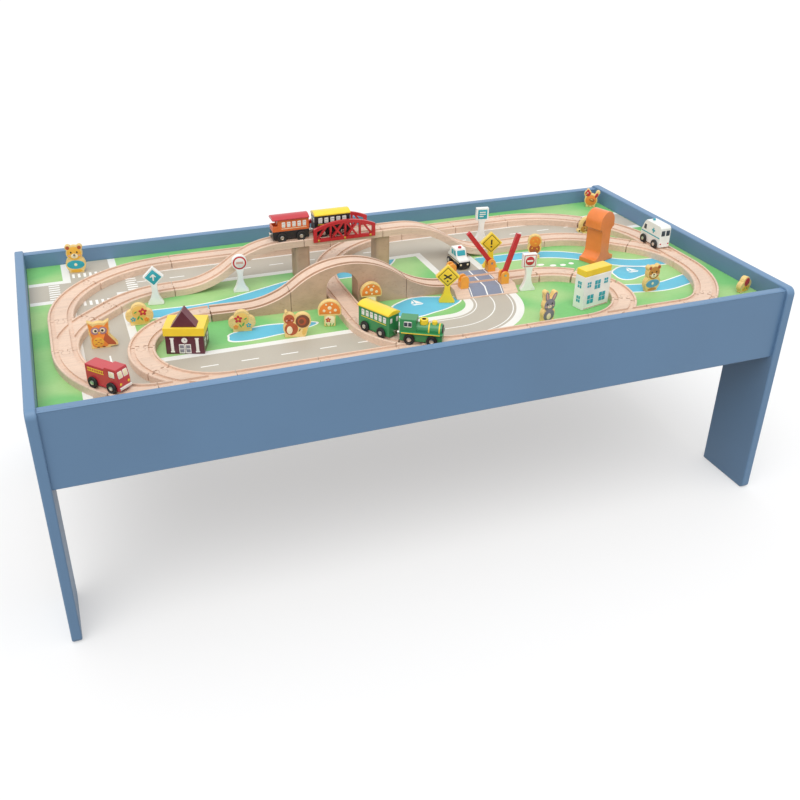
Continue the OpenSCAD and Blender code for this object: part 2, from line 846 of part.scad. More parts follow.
// Frame of a vehicle that stands at angle a on a left-hand curve from pose p.
function on_curve(p, r, a) = beside(bent(p, r, a), curve_inset);
engine_pose = on_curve(branch_foot, train_r, engine_turn);
green_coach_pose = on_curve(branch_foot, train_r, engine_turn - train_step);
fire_truck_pose = on_curve([left_x, side_y, -90], curve_r, truck_turn);
ambulance_pose = ahead(side_switch_right, ambulance_ahead);
orange_coach_pose = turned(ahead(deck_end, orange_coach_back), 180);
black_coach_pose = ahead(orange_coach_pose, car_l + coupling);
patrol_pose = [crossing_middle[0] + 8, crossing_middle[1] + crossing_w / 2 + patrol_gap, -90];

module on_track(p) { at(p, rail_z) children(); }
module on_bridge(p) { at(p, rail_z + rise) children(); }

// Engine: cab, round boiler and running boards on one green body.
running_board_z = wheel_r + axle_z + 2 * clear;
running_board_t = 2.5;
cab_l = 25;
cab_h = 37;
boiler_r = 9.5;
boiler_z = 20;
fitting_seat = 2;

module engine_body() {
  overhang = 3;
  boiler_x = -car_l / 2 + cab_l - cut;
  color(green) on_track(engine_pose) {
    difference() {
      union() {
        translate([-car_l / 2, -body_w / 2, body_low]) cube([car_l, body_w, running_board_z - body_low]);
        translate([-car_l / 2, -body_w / 2 - overhang, running_board_z])
          cube([car_l + 1, body_w + 2 * overhang, running_board_t]);
        translate([-car_l / 2, -body_w / 2, running_board_z]) cube([cab_l, body_w, cab_h - running_board_z]);
        translate([boiler_x, 0, boiler_z]) rotate([0, 90, 0]) cylinder(h = car_l - cab_l, r = boiler_r);
      }
      axle_bores();
      engine_fitting_seats();
    }
    couplers([-1]);
  }
}

// Flat seats cut into the top of the boiler under the funnel and the dome.
funnel_x = 3;
funnel_d = 13;
dome_x = 19;
dome_d = 8;
fitting_z = boiler_z + boiler_r - fitting_seat;

module engine_fitting_seats() {
  translate([funnel_x, 0, fitting_z]) cylinder(h = boiler_r, d = funnel_d + 2 * fit);
  translate([dome_x, 0, fitting_z]) cylinder(h = boiler_r, d = dome_d + 2 * fit);
}

// Yellow funnel with a smoke hole, and a small dome in front of it.
module engine_fittings() {
  funnel_h = 8;
  dome_h = 6;
  color(yellow) on_track(engine_pose) {
    translate([funnel_x, 0, fitting_z]) difference() {
      cylinder(h = funnel_h, d = funnel_d);
      translate([0, 0, funnel_h / 2]) cylinder(h = funnel_h, d = funnel_d / 2);
    }
    translate([dome_x, 0, fitting_z]) cylinder(h = dome_h, d = dome_d);
  }
}

module engine_front_wheels() { color(black) on_track(engine_pose) vehicle_wheels(1); }
module engine_rear_wheels() { color(black) on_track(engine_pose) vehicle_wheels(-1); }

module green_coach_body() {
  color(green) on_track(green_coach_pose) {
    difference() {
      coach_block(car_l, coach_h - roof_t);
      axle_bores();
    }
    couplers();
  }
}

module green_coach_roof() {
  color(yellow) on_track(green_coach_pose) coach_roof(car_l + roof_over, coach_h - roof_t, roof_t);
}

module green_coach_front_wheels() { color(black) on_track(green_coach_pose) vehicle_wheels(1); }
module green_coach_rear_wheels() { color(black) on_track(green_coach_pose) vehicle_wheels(-1); }

chassis_h = 16;

// Coach body with an open platform at its rear end.
module orange_coach_body() {
  porch = 11;
  rail_h = 10;
  color("#D9622F") on_bridge(orange_coach_pose) difference() {
    translate([-car_l / 2, -body_w / 2, chassis_h]) cube([car_l, body_w, coach_h - roof_t - chassis_h]);
    translate([-car_l / 2 + 2, -body_w / 2 + 2, chassis_h + 3]) cube([porch - 2, body_w - 4, coach_h]);
    translate([-car_l / 2 - cut, -body_w, chassis_h + rail_h]) cube([porch - 2 + cut, 2 * body_w, coach_h]);
  }
}

module orange_coach_chassis() {
  color(black) on_bridge(orange_coach_pose) {
    difference() {
      translate([-car_l / 2, -body_w / 2, body_low]) cube([car_l, body_w, chassis_h - body_low]);
      axle_bores();
    }
    couplers();
  }
}

module orange_coach_roof() {
  color(red) on_bridge(orange_coach_pose) coach_roof(car_l + roof_over, coach_h - roof_t, roof_t);
}

module orange_coach_front_wheels() { color(black) on_bridge(orange_coach_pose) vehicle_wheels(1); }
module orange_coach_rear_wheels() { color(black) on_bridge(orange_coach_pose) vehicle_wheels(-1); }

module black_coach_body() {
  color(black) on_bridge(black_coach_pose) {
    difference() {
      coach_block(car_l, coach_h - roof_t);
      axle_bores();
    }
    couplers();
  }
}

module black_coach_roof() {
  color(yellow) on_bridge(black_coach_pose) coach_roof(car_l + roof_over, coach_h - roof_t, roof_t);
}

module black_coach_front_wheels() { color(black) on_bridge(black_coach_pose) vehicle_wheels(1); }
module black_coach_rear_wheels() { color(black) on_bridge(black_coach_pose) vehicle_wheels(-1); }

// Ambulance: a tall box with a sloping windscreen and a beacon.
module ambulance_body() {
  l = 60;
  h = 42;
  bonnet = 20;
  slope = 9;
  edge = 4;
  color(white) on_track(ambulance_pose) {
    difference() {
      plate(body_w) polygon([[-l / 2, body_low], [l / 2, body_low], [l / 2, bonnet], [l / 2 - slope, h - edge],
                             [l / 2 - slope - edge, h], [edge - l / 2, h], [-l / 2, h - edge]]);
      axle_bores();
    }
    translate([l / 2 - slope - 12, 0, h]) cylinder(h = 3, d = 5);
  }
}

module ambulance_front_wheels() { color(black) on_track(ambulance_pose) vehicle_wheels(1); }
module ambulance_rear_wheels() { color(black) on_track(ambulance_pose) vehicle_wheels(-1); }

// Fire truck: a raised cab with a raked windscreen, a lower rear body and a bumper.
module fire_truck_body() {
  l = 60;
  front_l = 24;
  front_h = 34;
  rear_h = 31;
  rake = 4;
  sill = 17;
  bumper = 2;
  color(red) on_track(fire_truck_pose) difference() {
    union() {
      plate(body_w) polygon([[-l / 2, body_low], [l / 2, body_low], [l / 2, sill], [l / 2 - rake, front_h],
                             [l / 2 - front_l, front_h], [l / 2 - front_l - rake / 2, rear_h], [-l / 2, rear_h]]);
      translate([l / 2 - cut, -body_w / 2, body_low + bumper]) cube([bumper + cut, body_w, 2 * bumper]);
    }
    axle_bores();
  }
}

module fire_truck_front_wheels() { color(black) on_track(fire_truck_pose) vehicle_wheels(1); }
module fire_truck_rear_wheels() { color(black) on_track(fire_truck_pose) vehicle_wheels(-1); }

// Patrol car on the playboard: a dark lower body and a white cabin with a beacon.
car_wheel_d = 14;
car_base = 28;
car_spread = 25;
patrol_l = 50;
patrol_belt = 15;

module on_road() { at(patrol_pose, board_z) children(); }

module patrol_car_body() {
  color(black) on_road() difference() {
    translate([-patrol_l / 2, -body_w / 2 + 1, 3]) cube([patrol_l, body_w - 2, patrol_belt - 3]);
    axle_bores(car_base, car_wheel_d / 2 + clear);
  }
}

module patrol_car_cabin() {
  roof_h = 34;
  color(white) on_road() {
    plate(body_w - 2) polygon([[-patrol_l / 2, patrol_belt], [patrol_l / 2, patrol_belt],
                               [patrol_l / 2 - 1, patrol_belt + 3], [patrol_l / 2 - 12, patrol_belt + 5],
                               [patrol_l / 2 - 19, roof_h], [-patrol_l / 2 + 12, roof_h],
                               [-patrol_l / 2 + 4, patrol_belt + 6], [-patrol_l / 2, patrol_belt + 4]]);
    translate([2, 0, roof_h]) cylinder(h = 3, d = 6);
  }
}

module patrol_wheels(end) {
  translate([end * car_base / 2, 0, car_wheel_d / 2 + clear]) wheelset(car_wheel_d, car_spread);
}

module patrol_car_front_wheels() { color(black) on_road() patrol_wheels(1); }
module patrol_car_rear_wheels() { color(black) on_road() patrol_wheels(-1); }

// Buildings and figures, standing loose on the playboard

module stand(p, turn = 0) { translate([p[0], p[1], board_z]) rotate(turn) children(); }

station_spot = near(loop_switch, -47, 136);
station_turn = -19;
station_wall_h = 30;
fascia_h = 13;

module station_walls() {
  color("#5A1F28") stand(station_spot, station_turn)
    translate([-station_w / 2, -station_d / 2, 0]) cube([station_w, station_d, station_wall_h]);
}

// Yellow fascia with a dark gable block on top of it.
module station_roof() {
  over = 2;
  gable_w = 38;
  gable_h = 26;
  gable_d = 22;
  color(yellow) stand(station_spot, station_turn) {
    translate([-station_w / 2 - over, -station_d / 2 - over, station_wall_h])
      cube([station_w + 2 * over, station_d + 2 * over, fascia_h]);
    translate([0, -station_d / 2 - over + gable_d / 2 + 4, station_wall_h + fascia_h]) plate(gable_d)
      polygon([[-gable_w / 2, 0], [gable_w / 2, 0], [0, gable_h]]);
  }
}

clinic_spot = near(return_switch, 38, 72);
clinic_turn = 13;
clinic_wall_h = 57;

module clinic_walls() {
  color(white) stand(clinic_spot, clinic_turn)
    translate([-clinic_w / 2, -clinic_d / 2, 0]) cube([clinic_w, clinic_d, clinic_wall_h]);
}

// Flat yellow roof block, a little smaller than the walls.
module clinic_roof() {
  inset = 0.5;
  roof_h = 11;
  color(yellow) stand(clinic_spot, clinic_turn) translate([0, 0, clinic_wall_h])
    translate([inset - clinic_w / 2, inset - clinic_d / 2, 0])
      cube([clinic_w - 2 * inset, clinic_d - 2 * inset, roof_h]);
}

// Tower cut from one thick board: a round-topped head on a narrow column with spread feet.
module loading_tower() {
  head_r = 20;
  head_h = 31;
  column_w = 25;
  foot_w = 54;
  foot_h = 8;
  flare = (foot_w - column_w) / 2;
  thick = 34;
  color("#E0762E") stand(near(side_switch_right, -129, 82), 21) plate(thick) {
    translate([0, tower_h - head_r]) circle(head_r, $fn = 72);
    translate([-head_r, tower_h - head_h]) square([2 * head_r, head_h - head_r]);
    translate([-column_w / 2, 0]) square([column_w, tower_h - head_r]);
    difference() {
      translate([-foot_w / 2, 0]) square([foot_w, foot_h + flare]);
      for (s = [-1, 1]) translate([s * foot_w / 2, foot_h + flare]) circle(flare);
    }
  }
}

// Sign standing on a waisted post with a flared foot: the panel is drawn at the height of its middle.
module sign_post(panel_z) {
  foot_w = 26;
  waist_w = 9;
  waist_z = 28;
  flare_r = 40;
  behind_panel = 6;
  difference() {
    translate([-foot_w / 2, 0]) square([foot_w, panel_z - behind_panel]);
    for (s = [-1, 1]) translate([s * (waist_w / 2 + flare_r), waist_z]) circle(flare_r, $fn = 120);
  }
}

module diamond_sign(side) {
  middle = sign_h - side * sqrt(2) / 2;
  plate(figure_t) {
    sign_post(middle);
    translate([0, middle]) rotate(45) square(side, center = true);
  }
}

module round_sign(d) {
  plate(figure_t) {
    sign_post(sign_h - d / 2);
    translate([0, sign_h - d / 2]) circle(d = d);
  }
}

module square_sign(side) {
  plate(figure_t) {
    sign_post(sign_h - side / 2);
    translate([0, sign_h - side / 2]) square(side, center = true);
  }
}

module white_signs() {
  color(white) {
    stand(near(left_ramp_low, -35, -40), -10) diamond_sign(24);
    stand(near(left_ramp_low, 109, -35), -6) round_sign(26);
    stand(near(bridge_start, -99, 52), -10) square_sign(24);
    stand(near(crossing_middle, 72, -48), -8) square_sign(24);
  }
}

module yellow_signs() {
  color(yellow) {
    stand(near(crossing_middle, -77, -49), -20) diamond_sign(28);
    stand(near(crossing_middle, 58, 68), -12) diamond_sign(28);
  }
}

// Limb between two points, as an ear or tail: a bar with a slightly wider round at each end.
module limb(a, b, d) {
  v = b - a;
  bar = 0.92 * d;
  translate(a) rotate(atan2(v[1], v[0])) translate([0, -bar / 2]) square([norm(v), bar]);
  for (p = [a, b]) translate(p) circle(d = d);
}

// Upright bear of height h: round ears, a wide head and a pear-shaped body on a flat foot.
module bear_outline(h) {
  for (s = [-1, 1]) translate([s * 0.19 * h, 0.9 * h]) circle(0.1 * h);
  translate([0, 0.7 * h]) circle(0.27 * h);
  intersection() {
    translate([0, 0.3 * h]) circle(0.33 * h);
    translate([-h, 0]) square([2 * h, h]);
  }
  translate([-0.24 * h, 0]) square([0.48 * h, 0.2 * h]);
}

module rabbit_outline(h) {
  limb([-0.08 * h, 0.62 * h], [-0.14 * h, 0.93 * h], 0.14 * h);
  limb([0.08 * h, 0.62 * h], [0.2 * h, 0.86 * h], 0.14 * h);
  translate([0, 0.54 * h]) circle(0.2 * h);
  translate([0, 0.26 * h]) circle(0.22 * h);
  translate([-0.2 * h, 0]) square([0.4 * h, 0.26 * h]);
}

// Owl of height h: pointed ears, a broad head and a wing that reaches out beside the foot.
module owl_outline(h) {
  translate([-0.31 * h, 0]) square([0.62 * h, 0.66 * h]);
  translate([0, 0.6 * h]) circle(0.34 * h);
  for (s = [-1, 1]) polygon([[s * 0.3 * h, 0.5 * h], [s * 0.36 * h, h], [s * 0.04 * h, 0.84 * h]]);
  polygon([[0.2 * h, 0.02 * h], [0.56 * h, 0.06 * h], [0.54 * h, 0.16 * h], [0.2 * h, 0.62 * h]]);
}

module squirrel_outline(h) {
  translate([-0.16 * h, 0.7 * h]) circle(0.22 * h);
  limb([-0.24 * h, 0.85 * h], [-0.26 * h, 0.95 * h], 0.1 * h);
  translate([-0.1 * h, 0.34 * h]) circle(0.28 * h);
  translate([-0.34 * h, 0]) square([0.72 * h, 0.2 * h]);
  translate([0.3 * h, 0.6 * h]) circle(0.3 * h);
  limb([0.3 * h, 0.14 * h], [0.42 * h, 0.5 * h], 0.26 * h);
}

module hen_outline(h) {
  translate([-0.26 * h, 0]) square([0.52 * h, 0.3 * h]);
  translate([0, 0.4 * h]) circle(0.36 * h);
  translate([-0.2 * h, 0.74 * h]) circle(0.2 * h);
  translate([-0.2 * h, 0.94 * h]) circle(0.08 * h);
  limb([0.2 * h, 0.5 * h], [0.36 * h, 0.84 * h], 0.22 * h);
}

// Low hedgehog: a round back on a flat foot, with a short snout.
module hedgehog_outline(h) {
  intersection() {
    translate([0, 0.48 * h]) circle(0.52 * h);
    translate([-h, 0]) square([2 * h, h]);
  }
  limb([-0.3 * h, 0.24 * h], [-0.52 * h, 0.2 * h], 0.2 * h);
}

module animal_figures() {
  color(plywood) {
    stand(corner(-1, 1, 86, 46), -8) plate(figure_t) bear_outline(52);
    stand(near(side_switch_left, 52, 16), -4) plate(figure_t) owl_outline(45);
    stand(near(branch_foot, -106, -10), -12) plate(figure_t) squirrel_outline(44);
    stand(near(return_switch, -60, 41), 10) plate(figure_t) rabbit_outline(54);
    stand(corner(1, 1, 29, 31), -30) plate(figure_t) hen_outline(37);
    stand(near(front_right, -6, 90), 4) plate(figure_t) bear_outline(47);
    stand(near(right_top, -71, 99), -6) plate(figure_t) hedgehog_outline(34);
  }
}

module mushroom_outline(h) {
  translate([-0.2 * h, 0]) square([0.4 * h, 0.5 * h]);
  intersection() {
    translate([0, 0.58 * h]) circle(0.42 * h);
    translate([-h, 0.42 * h]) square([2 * h, h]);
  }
}

module bush_outline(h) {
  translate([-0.42 * h, 0]) square([0.84 * h, 0.4 * h]);
  for (s = [-1, 1]) translate([s * 0.3 * h, 0.42 * h]) circle(0.3 * h);
  translate([0, 0.64 * h]) circle(0.36 * h);
}

module tree_outline(h) {
  translate([-0.24 * h, 0]) square([0.48 * h, 0.12 * h]);
  translate([-0.1 * h, 0]) square([0.2 * h, 0.5 * h]);
  translate([0, 0.44 * h]) circle(0.28 * h);
  translate([0, 0.72 * h]) circle(0.28 * h);
}

module plant_figures() {
  color(plywood) {
    stand(near(hump_end, -110, 10), -6) plate(figure_t) bush_outline(36);
    stand(near(hump_end, 37, -67), -10) plate(figure_t) bush_outline(35);
    stand(near(branch_foot, -43, 9), -14) plate(figure_t) mushroom_outline(44);
    stand(near(branch_foot, 43, 58), -8) plate(figure_t) mushroom_outline(42);
    stand(near(bridge_start, -45, -61), -20) plate(figure_t) tree_outline(45);
    stand(corner(1, -1, 23, 56), 20) plate(figure_t) bush_outline(27);
  }
}

left_end_panel();
right_end_panel();
front_apron();
back_apron();
playboard();
battens();
connector_bolts();
barrel_nuts();
batten_screws();
outer_curves();
inner_curves();
straight_tracks();
switch_tracks();
bridge_ramps();
bridge_deck();
bridge_trusses();
bridge_piers();
viaduct_arch();
viaduct_ramps();
crossing_track();
barrier_posts();
barrier_pins();
near_barrier_arm();
far_barrier_arm();
engine_body();
engine_fittings();
engine_front_wheels();
engine_rear_wheels();
green_coach_body();
green_coach_roof();
green_coach_front_wheels();
green_coach_rear_wheels();
orange_coach_body();
orange_coach_chassis();
orange_coach_roof();
orange_coach_front_wheels();
orange_coach_rear_wheels();
black_coach_body();
black_coach_roof();
black_coach_front_wheels();
black_coach_rear_wheels();
ambulance_body();
ambulance_front_wheels();
ambulance_rear_wheels();
fire_truck_body();
fire_truck_front_wheels();
fire_truck_rear_wheels();
patrol_car_body();
patrol_car_cabin();
patrol_car_front_wheels();
patrol_car_rear_wheels();
station_walls();
station_roof();
clinic_walls();
clinic_roof();
loading_tower();
white_signs();
yellow_signs();
animal_figures();
plant_figures();
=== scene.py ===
"""Looks of a children's train table: painted tray, printed board, beech railway and wooden toys.

The file is laid out as an add-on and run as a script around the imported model, which is its fixed frame.
"""

import json
import math

import bmesh
import bpy
import numpy as np
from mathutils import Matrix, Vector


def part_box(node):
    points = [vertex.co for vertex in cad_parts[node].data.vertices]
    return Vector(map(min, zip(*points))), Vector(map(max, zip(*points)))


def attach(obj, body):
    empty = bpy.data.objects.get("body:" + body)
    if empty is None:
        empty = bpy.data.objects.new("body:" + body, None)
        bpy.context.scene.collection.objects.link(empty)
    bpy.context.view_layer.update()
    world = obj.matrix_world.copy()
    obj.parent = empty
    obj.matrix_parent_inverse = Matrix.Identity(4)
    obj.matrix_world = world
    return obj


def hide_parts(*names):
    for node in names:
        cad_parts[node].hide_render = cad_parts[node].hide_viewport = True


bl_info = {
    "name": "Train table looks",
    "version": (1, 0, 0),
    "blender": (4, 5, 0),
    "location": "View3D > Sidebar > Train table",
    "description": "Paint, wood, print and light for the packed train table",
    "category": "Object",
}

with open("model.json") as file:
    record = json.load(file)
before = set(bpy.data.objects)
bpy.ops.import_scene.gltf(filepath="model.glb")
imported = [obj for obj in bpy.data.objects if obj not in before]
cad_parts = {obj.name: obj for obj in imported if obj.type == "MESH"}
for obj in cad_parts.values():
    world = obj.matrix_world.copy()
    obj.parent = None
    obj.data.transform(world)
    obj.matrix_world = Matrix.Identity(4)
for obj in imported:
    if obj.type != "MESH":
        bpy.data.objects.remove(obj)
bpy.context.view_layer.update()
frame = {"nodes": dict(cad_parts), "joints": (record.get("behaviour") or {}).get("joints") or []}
MM = 0.001
ROOT = "table"
BOARD_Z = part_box("playboard")[1].z
JOINTS = {joint["name"]: joint for joint in frame["joints"]}
MATERIALS = {}

# Directions of a face: to the right on it, up on it and out of it
X, Y, Z = np.eye(3)
LEFT_SIDE, RIGHT_SIDE = np.stack([-X, Z, Y]), np.stack([X, Z, -Y])
FRONT_SIDE, REAR_SIDE = np.stack([Y, Z, X]), np.stack([-Y, Z, -X])
TOP_SIDE = np.stack([X, Y, Z])
SIDES = ((LEFT_SIDE, 1), (RIGHT_SIDE, -1))


# Colours and materials

WHITE = (1.0, 1.0, 1.0, 1.0)
# A cloudy pattern's value in its thin and in its dense places, and a layer that darkens what is under it
THIN, DENSE = 0.3, 0.7
MULTIPLY = {"data_type": "RGBA", "blend_type": "MULTIPLY"}


def linear(code):
    """Linear RGBA of an sRGB hex colour, by the sRGB curve."""
    srgb = np.array([int(code[i:i + 2], 16) for i in (1, 3, 5)]) / 255
    rgb = np.where(srgb <= 0.04045, srgb / 12.92, ((srgb + 0.055) / 1.055) ** 2.4)
    return (*rgb.tolist(), 1.0)


def shade(colour, factor):
    """A colour with its light multiplied by a factor."""
    return (*[min(1.0, c * factor) for c in colour[:3]], 1.0)


def spread(colour, dark, light):
    """Ramp stops from a darker to a lighter shade of a colour, from a pattern's thin to its dense places."""
    return (THIN, shade(colour, dark)), (DENSE, shade(colour, light))


def per_mm(*sizes):
    """Pattern scale of features of the given sizes in millimetres."""
    scales = [1 / (size * MM) for size in sizes]
    return scales if len(scales) > 1 else scales[0]


def add(tree, kind, links=None, stops=(), **settings):
    """Adds a node with its settings, its ramp's stops, and its sockets' values or links from other nodes."""
    node = tree.nodes.new(f"ShaderNode{kind}")
    for key, value in settings.items():
        setattr(node, key, value)
    for key, value in (links or {}).items():
        if isinstance(value, bpy.types.Node):
            value = next(output for output in value.outputs if not output.is_unavailable)
        if isinstance(value, bpy.types.NodeSocket):
            tree.links.new(value, node.inputs[key])
        else:
            node.inputs[key].default_value = value
    for i, (position, colour) in enumerate(stops):
        node.color_ramp.elements[i].position = position
        node.color_ramp.elements[i].color = colour
    return node


def start_material(name):
    """A new material without nodes but its Object coordinates: returns it, its tree and the coordinates."""
    material = bpy.data.materials.new(name)
    material.use_nodes = True
    tree = material.node_tree
    tree.nodes.clear()
    return material, tree, add(tree, "TexCoord").outputs["Object"]


def surface(tree, colour, sheen, smooth, rough, relief, depth_mm, strength, others=None):
    """Ends a material: one pattern leads its roughness from smooth to rough, and one its relief."""
    gloss = add(tree, "MapRange", {"Value": sheen, "From Min": THIN, "From Max": DENSE, "To Min": smooth,
                                   "To Max": rough})
    skin = add(tree, "Bump", {"Height": relief, "Distance": depth_mm * MM, "Strength": strength})
    shader = add(tree, "BsdfPrincipled", {"Base Color": colour, "Roughness": gloss, "Normal": skin,
                                          **(others or {})})
    add(tree, "OutputMaterial", {"Surface": shader})


def satin_paint(name, colour):
    """Satin paint rolled on MDF: a faint orange peel about 1.6 mm wide, and cloudy differences in sheen."""
    material, tree, co = start_material(name)
    cloud = add(tree, "TexNoise", {"Vector": co, "Scale": per_mm(180), "Detail": 3.0})
    peel = add(tree, "TexNoise", {"Vector": co, "Scale": per_mm(1.6), "Detail": 1.0})
    tone = add(tree, "ValToRGB", {"Fac": cloud}, spread(colour, 0.96, 1.04))
    surface(tree, tone, sheen=cloud, smooth=0.4, rough=0.5, relief=peel, depth_mm=0.02, strength=0.5)
    return material


def toy_paint(name, colour):
    """Gloss paint sprayed on beech: the grain shows through as shallow lines about 1.3 mm apart."""
    material, tree, co = start_material(name)
    cloud = add(tree, "TexNoise", {"Vector": co, "Scale": per_mm(22), "Detail": 2.0})
    lengthwise = add(tree, "Mapping", {"Vector": co, "Scale": per_mm(26, 1.3, 1.3)})
    grain = add(tree, "TexNoise", {"Vector": lengthwise, "Scale": 1.0, "Detail": 2.0})
    tone = add(tree, "ValToRGB", {"Fac": cloud}, spread(colour, 0.93, 1.05))
    surface(tree, tone, sheen=cloud, smooth=0.28, rough=0.4, relief=grain, depth_mm=0.05, strength=0.35,
            others={"Coat Weight": 0.25, "Coat Roughness": 0.15})
    return material


def bare_wood(name, colour, grain_mm=(60, 3.2, 3.2), roughness=0.48, contrast=0.12):
    """Sanded wood under clear lacquer: long grain bands, short dark flecks and planks of different tone."""
    material, tree, co = start_material(name)
    lengthwise = add(tree, "Mapping", {"Vector": co, "Scale": per_mm(*grain_mm)})
    short = add(tree, "Mapping", {"Vector": co, "Scale": per_mm(5.5, 0.9, 0.9)})
    plank = add(tree, "TexNoise", {"Vector": co, "Scale": per_mm(100), "Detail": 1.0})
    grain = add(tree, "TexNoise", {"Vector": lengthwise, "Scale": 1.0, "Detail": 4.0, "Roughness": 0.6})
    fleck = add(tree, "TexNoise", {"Vector": short, "Scale": 1.0, "Detail": 1.0})
    tone = add(tree, "ValToRGB", {"Fac": plank}, spread(colour, 1 - contrast * 0.7, 1 + contrast * 0.4))
    bands = add(tree, "ValToRGB", {"Fac": grain}, ((0.35, shade(WHITE, 1 - contrast)), (0.6, WHITE)))
    specks = add(tree, "ValToRGB", {"Fac": fleck}, ((0.27, (0.80, 0.72, 0.66, 1)), (0.36, WHITE)))
    banded = add(tree, "Mix", {0: 1.0, 6: tone, 7: bands}, **MULTIPLY)
    wood = add(tree, "Mix", {0: 1.0, 6: banded, 7: specks}, **MULTIPLY)
    surface(tree, wood, sheen=grain, smooth=roughness - 0.06, rough=roughness + 0.08, relief=grain,
            depth_mm=0.08, strength=0.3)
    return material


def print_ink(name, colour, cloud_mm, depth, roughness=0.55):
    """Ink printed under matt varnish: cloudy tone and a fine dot screen, drawn 1 mm wide so that it shows."""
    material, tree, co = start_material(name)
    cloud = add(tree, "TexNoise", {"Vector": co, "Scale": per_mm(cloud_mm), "Detail": 2.0})
    screen = add(tree, "TexNoise", {"Vector": co, "Scale": per_mm(1.0), "Detail": 0.0})
    tone = add(tree, "ValToRGB", {"Fac": cloud}, spread(colour, 1 - depth, 1 + depth * 0.6))
    dots = add(tree, "ValToRGB", {"Fac": screen}, spread(WHITE, 0.95, 1))
    ink = add(tree, "Mix", {0: 1.0, 6: tone, 7: dots}, **MULTIPLY)
    surface(tree, ink, sheen=cloud, smooth=roughness - 0.05, rough=roughness + 0.05, relief=screen,
            depth_mm=0.02, strength=0.3)
    return material


def grass_print(name, light, dark):
    """Printed meadow under matt varnish: two greens in soft fields about 150 mm wide, with fine tufts."""
    material, tree, co = start_material(name)
    wide = add(tree, "Mapping", {"Vector": co, "Scale": per_mm(170, 120, 170)})
    fine = add(tree, "Mapping", {"Vector": co, "Scale": per_mm(6, 3, 6)})
    field = add(tree, "TexNoise", {"Vector": wide, "Scale": 1.0, "Detail": 1.5, "Roughness": 0.4})
    tuft = add(tree, "TexNoise", {"Vector": fine, "Scale": 1.0, "Detail": 2.0})
    fields = add(tree, "ValToRGB", {"Fac": field}, ((0.46, light), (0.58, dark)))
    blades = add(tree, "ValToRGB", {"Fac": tuft}, ((THIN, (0.94, 0.96, 0.92, 1)), (DENSE, WHITE)))
    ink = add(tree, "Mix", {0: 1.0, 6: fields, 7: blades}, **MULTIPLY)
    surface(tree, ink, sheen=field, smooth=0.5, rough=0.6, relief=tuft, depth_mm=0.02, strength=0.3)
    return material


def moulded_plastic(name, colour):
    """Moulded ABS: an even gloss with the mould's spark-eroded grain, drawn 0.6 mm wide so that it shows."""
    material, tree, co = start_material(name)
    grit = add(tree, "TexNoise", {"Vector": co, "Scale": per_mm(0.6), "Detail": 1.0})
    tone = add(tree, "ValToRGB", {"Fac": grit}, spread(colour, 0.9, 1.15))
    surface(tree, tone, sheen=grit, smooth=0.35, rough=0.47, relief=grit, depth_mm=0.02, strength=0.4,
            others={"IOR": 1.53})
    return material


def plated_metal(name, colour, roughness=0.28):
    """Plated steel or brass: fine turning marks about 0.4 mm apart, and dull patches from handling."""
    material, tree, co = start_material(name)
    round_about = add(tree, "Mapping", {"Vector": co, "Scale": per_mm(0.4, 0.4, 4)})
    marks = add(tree, "TexNoise", {"Vector": round_about, "Scale": 1.0, "Detail": 1.0})
    patch = add(tree, "TexNoise", {"Vector": co, "Scale": per_mm(9), "Detail": 2.0})
    tone = add(tree, "ValToRGB", {"Fac": patch}, spread(colour, 0.9, 1.05))
    surface(tree, tone, sheen=patch, smooth=roughness, rough=roughness + 0.15, relief=marks, depth_mm=0.01,
            strength=0.3, others={"Metallic": 1.0})
    return material


# Shapes: arrays of points in millimetres


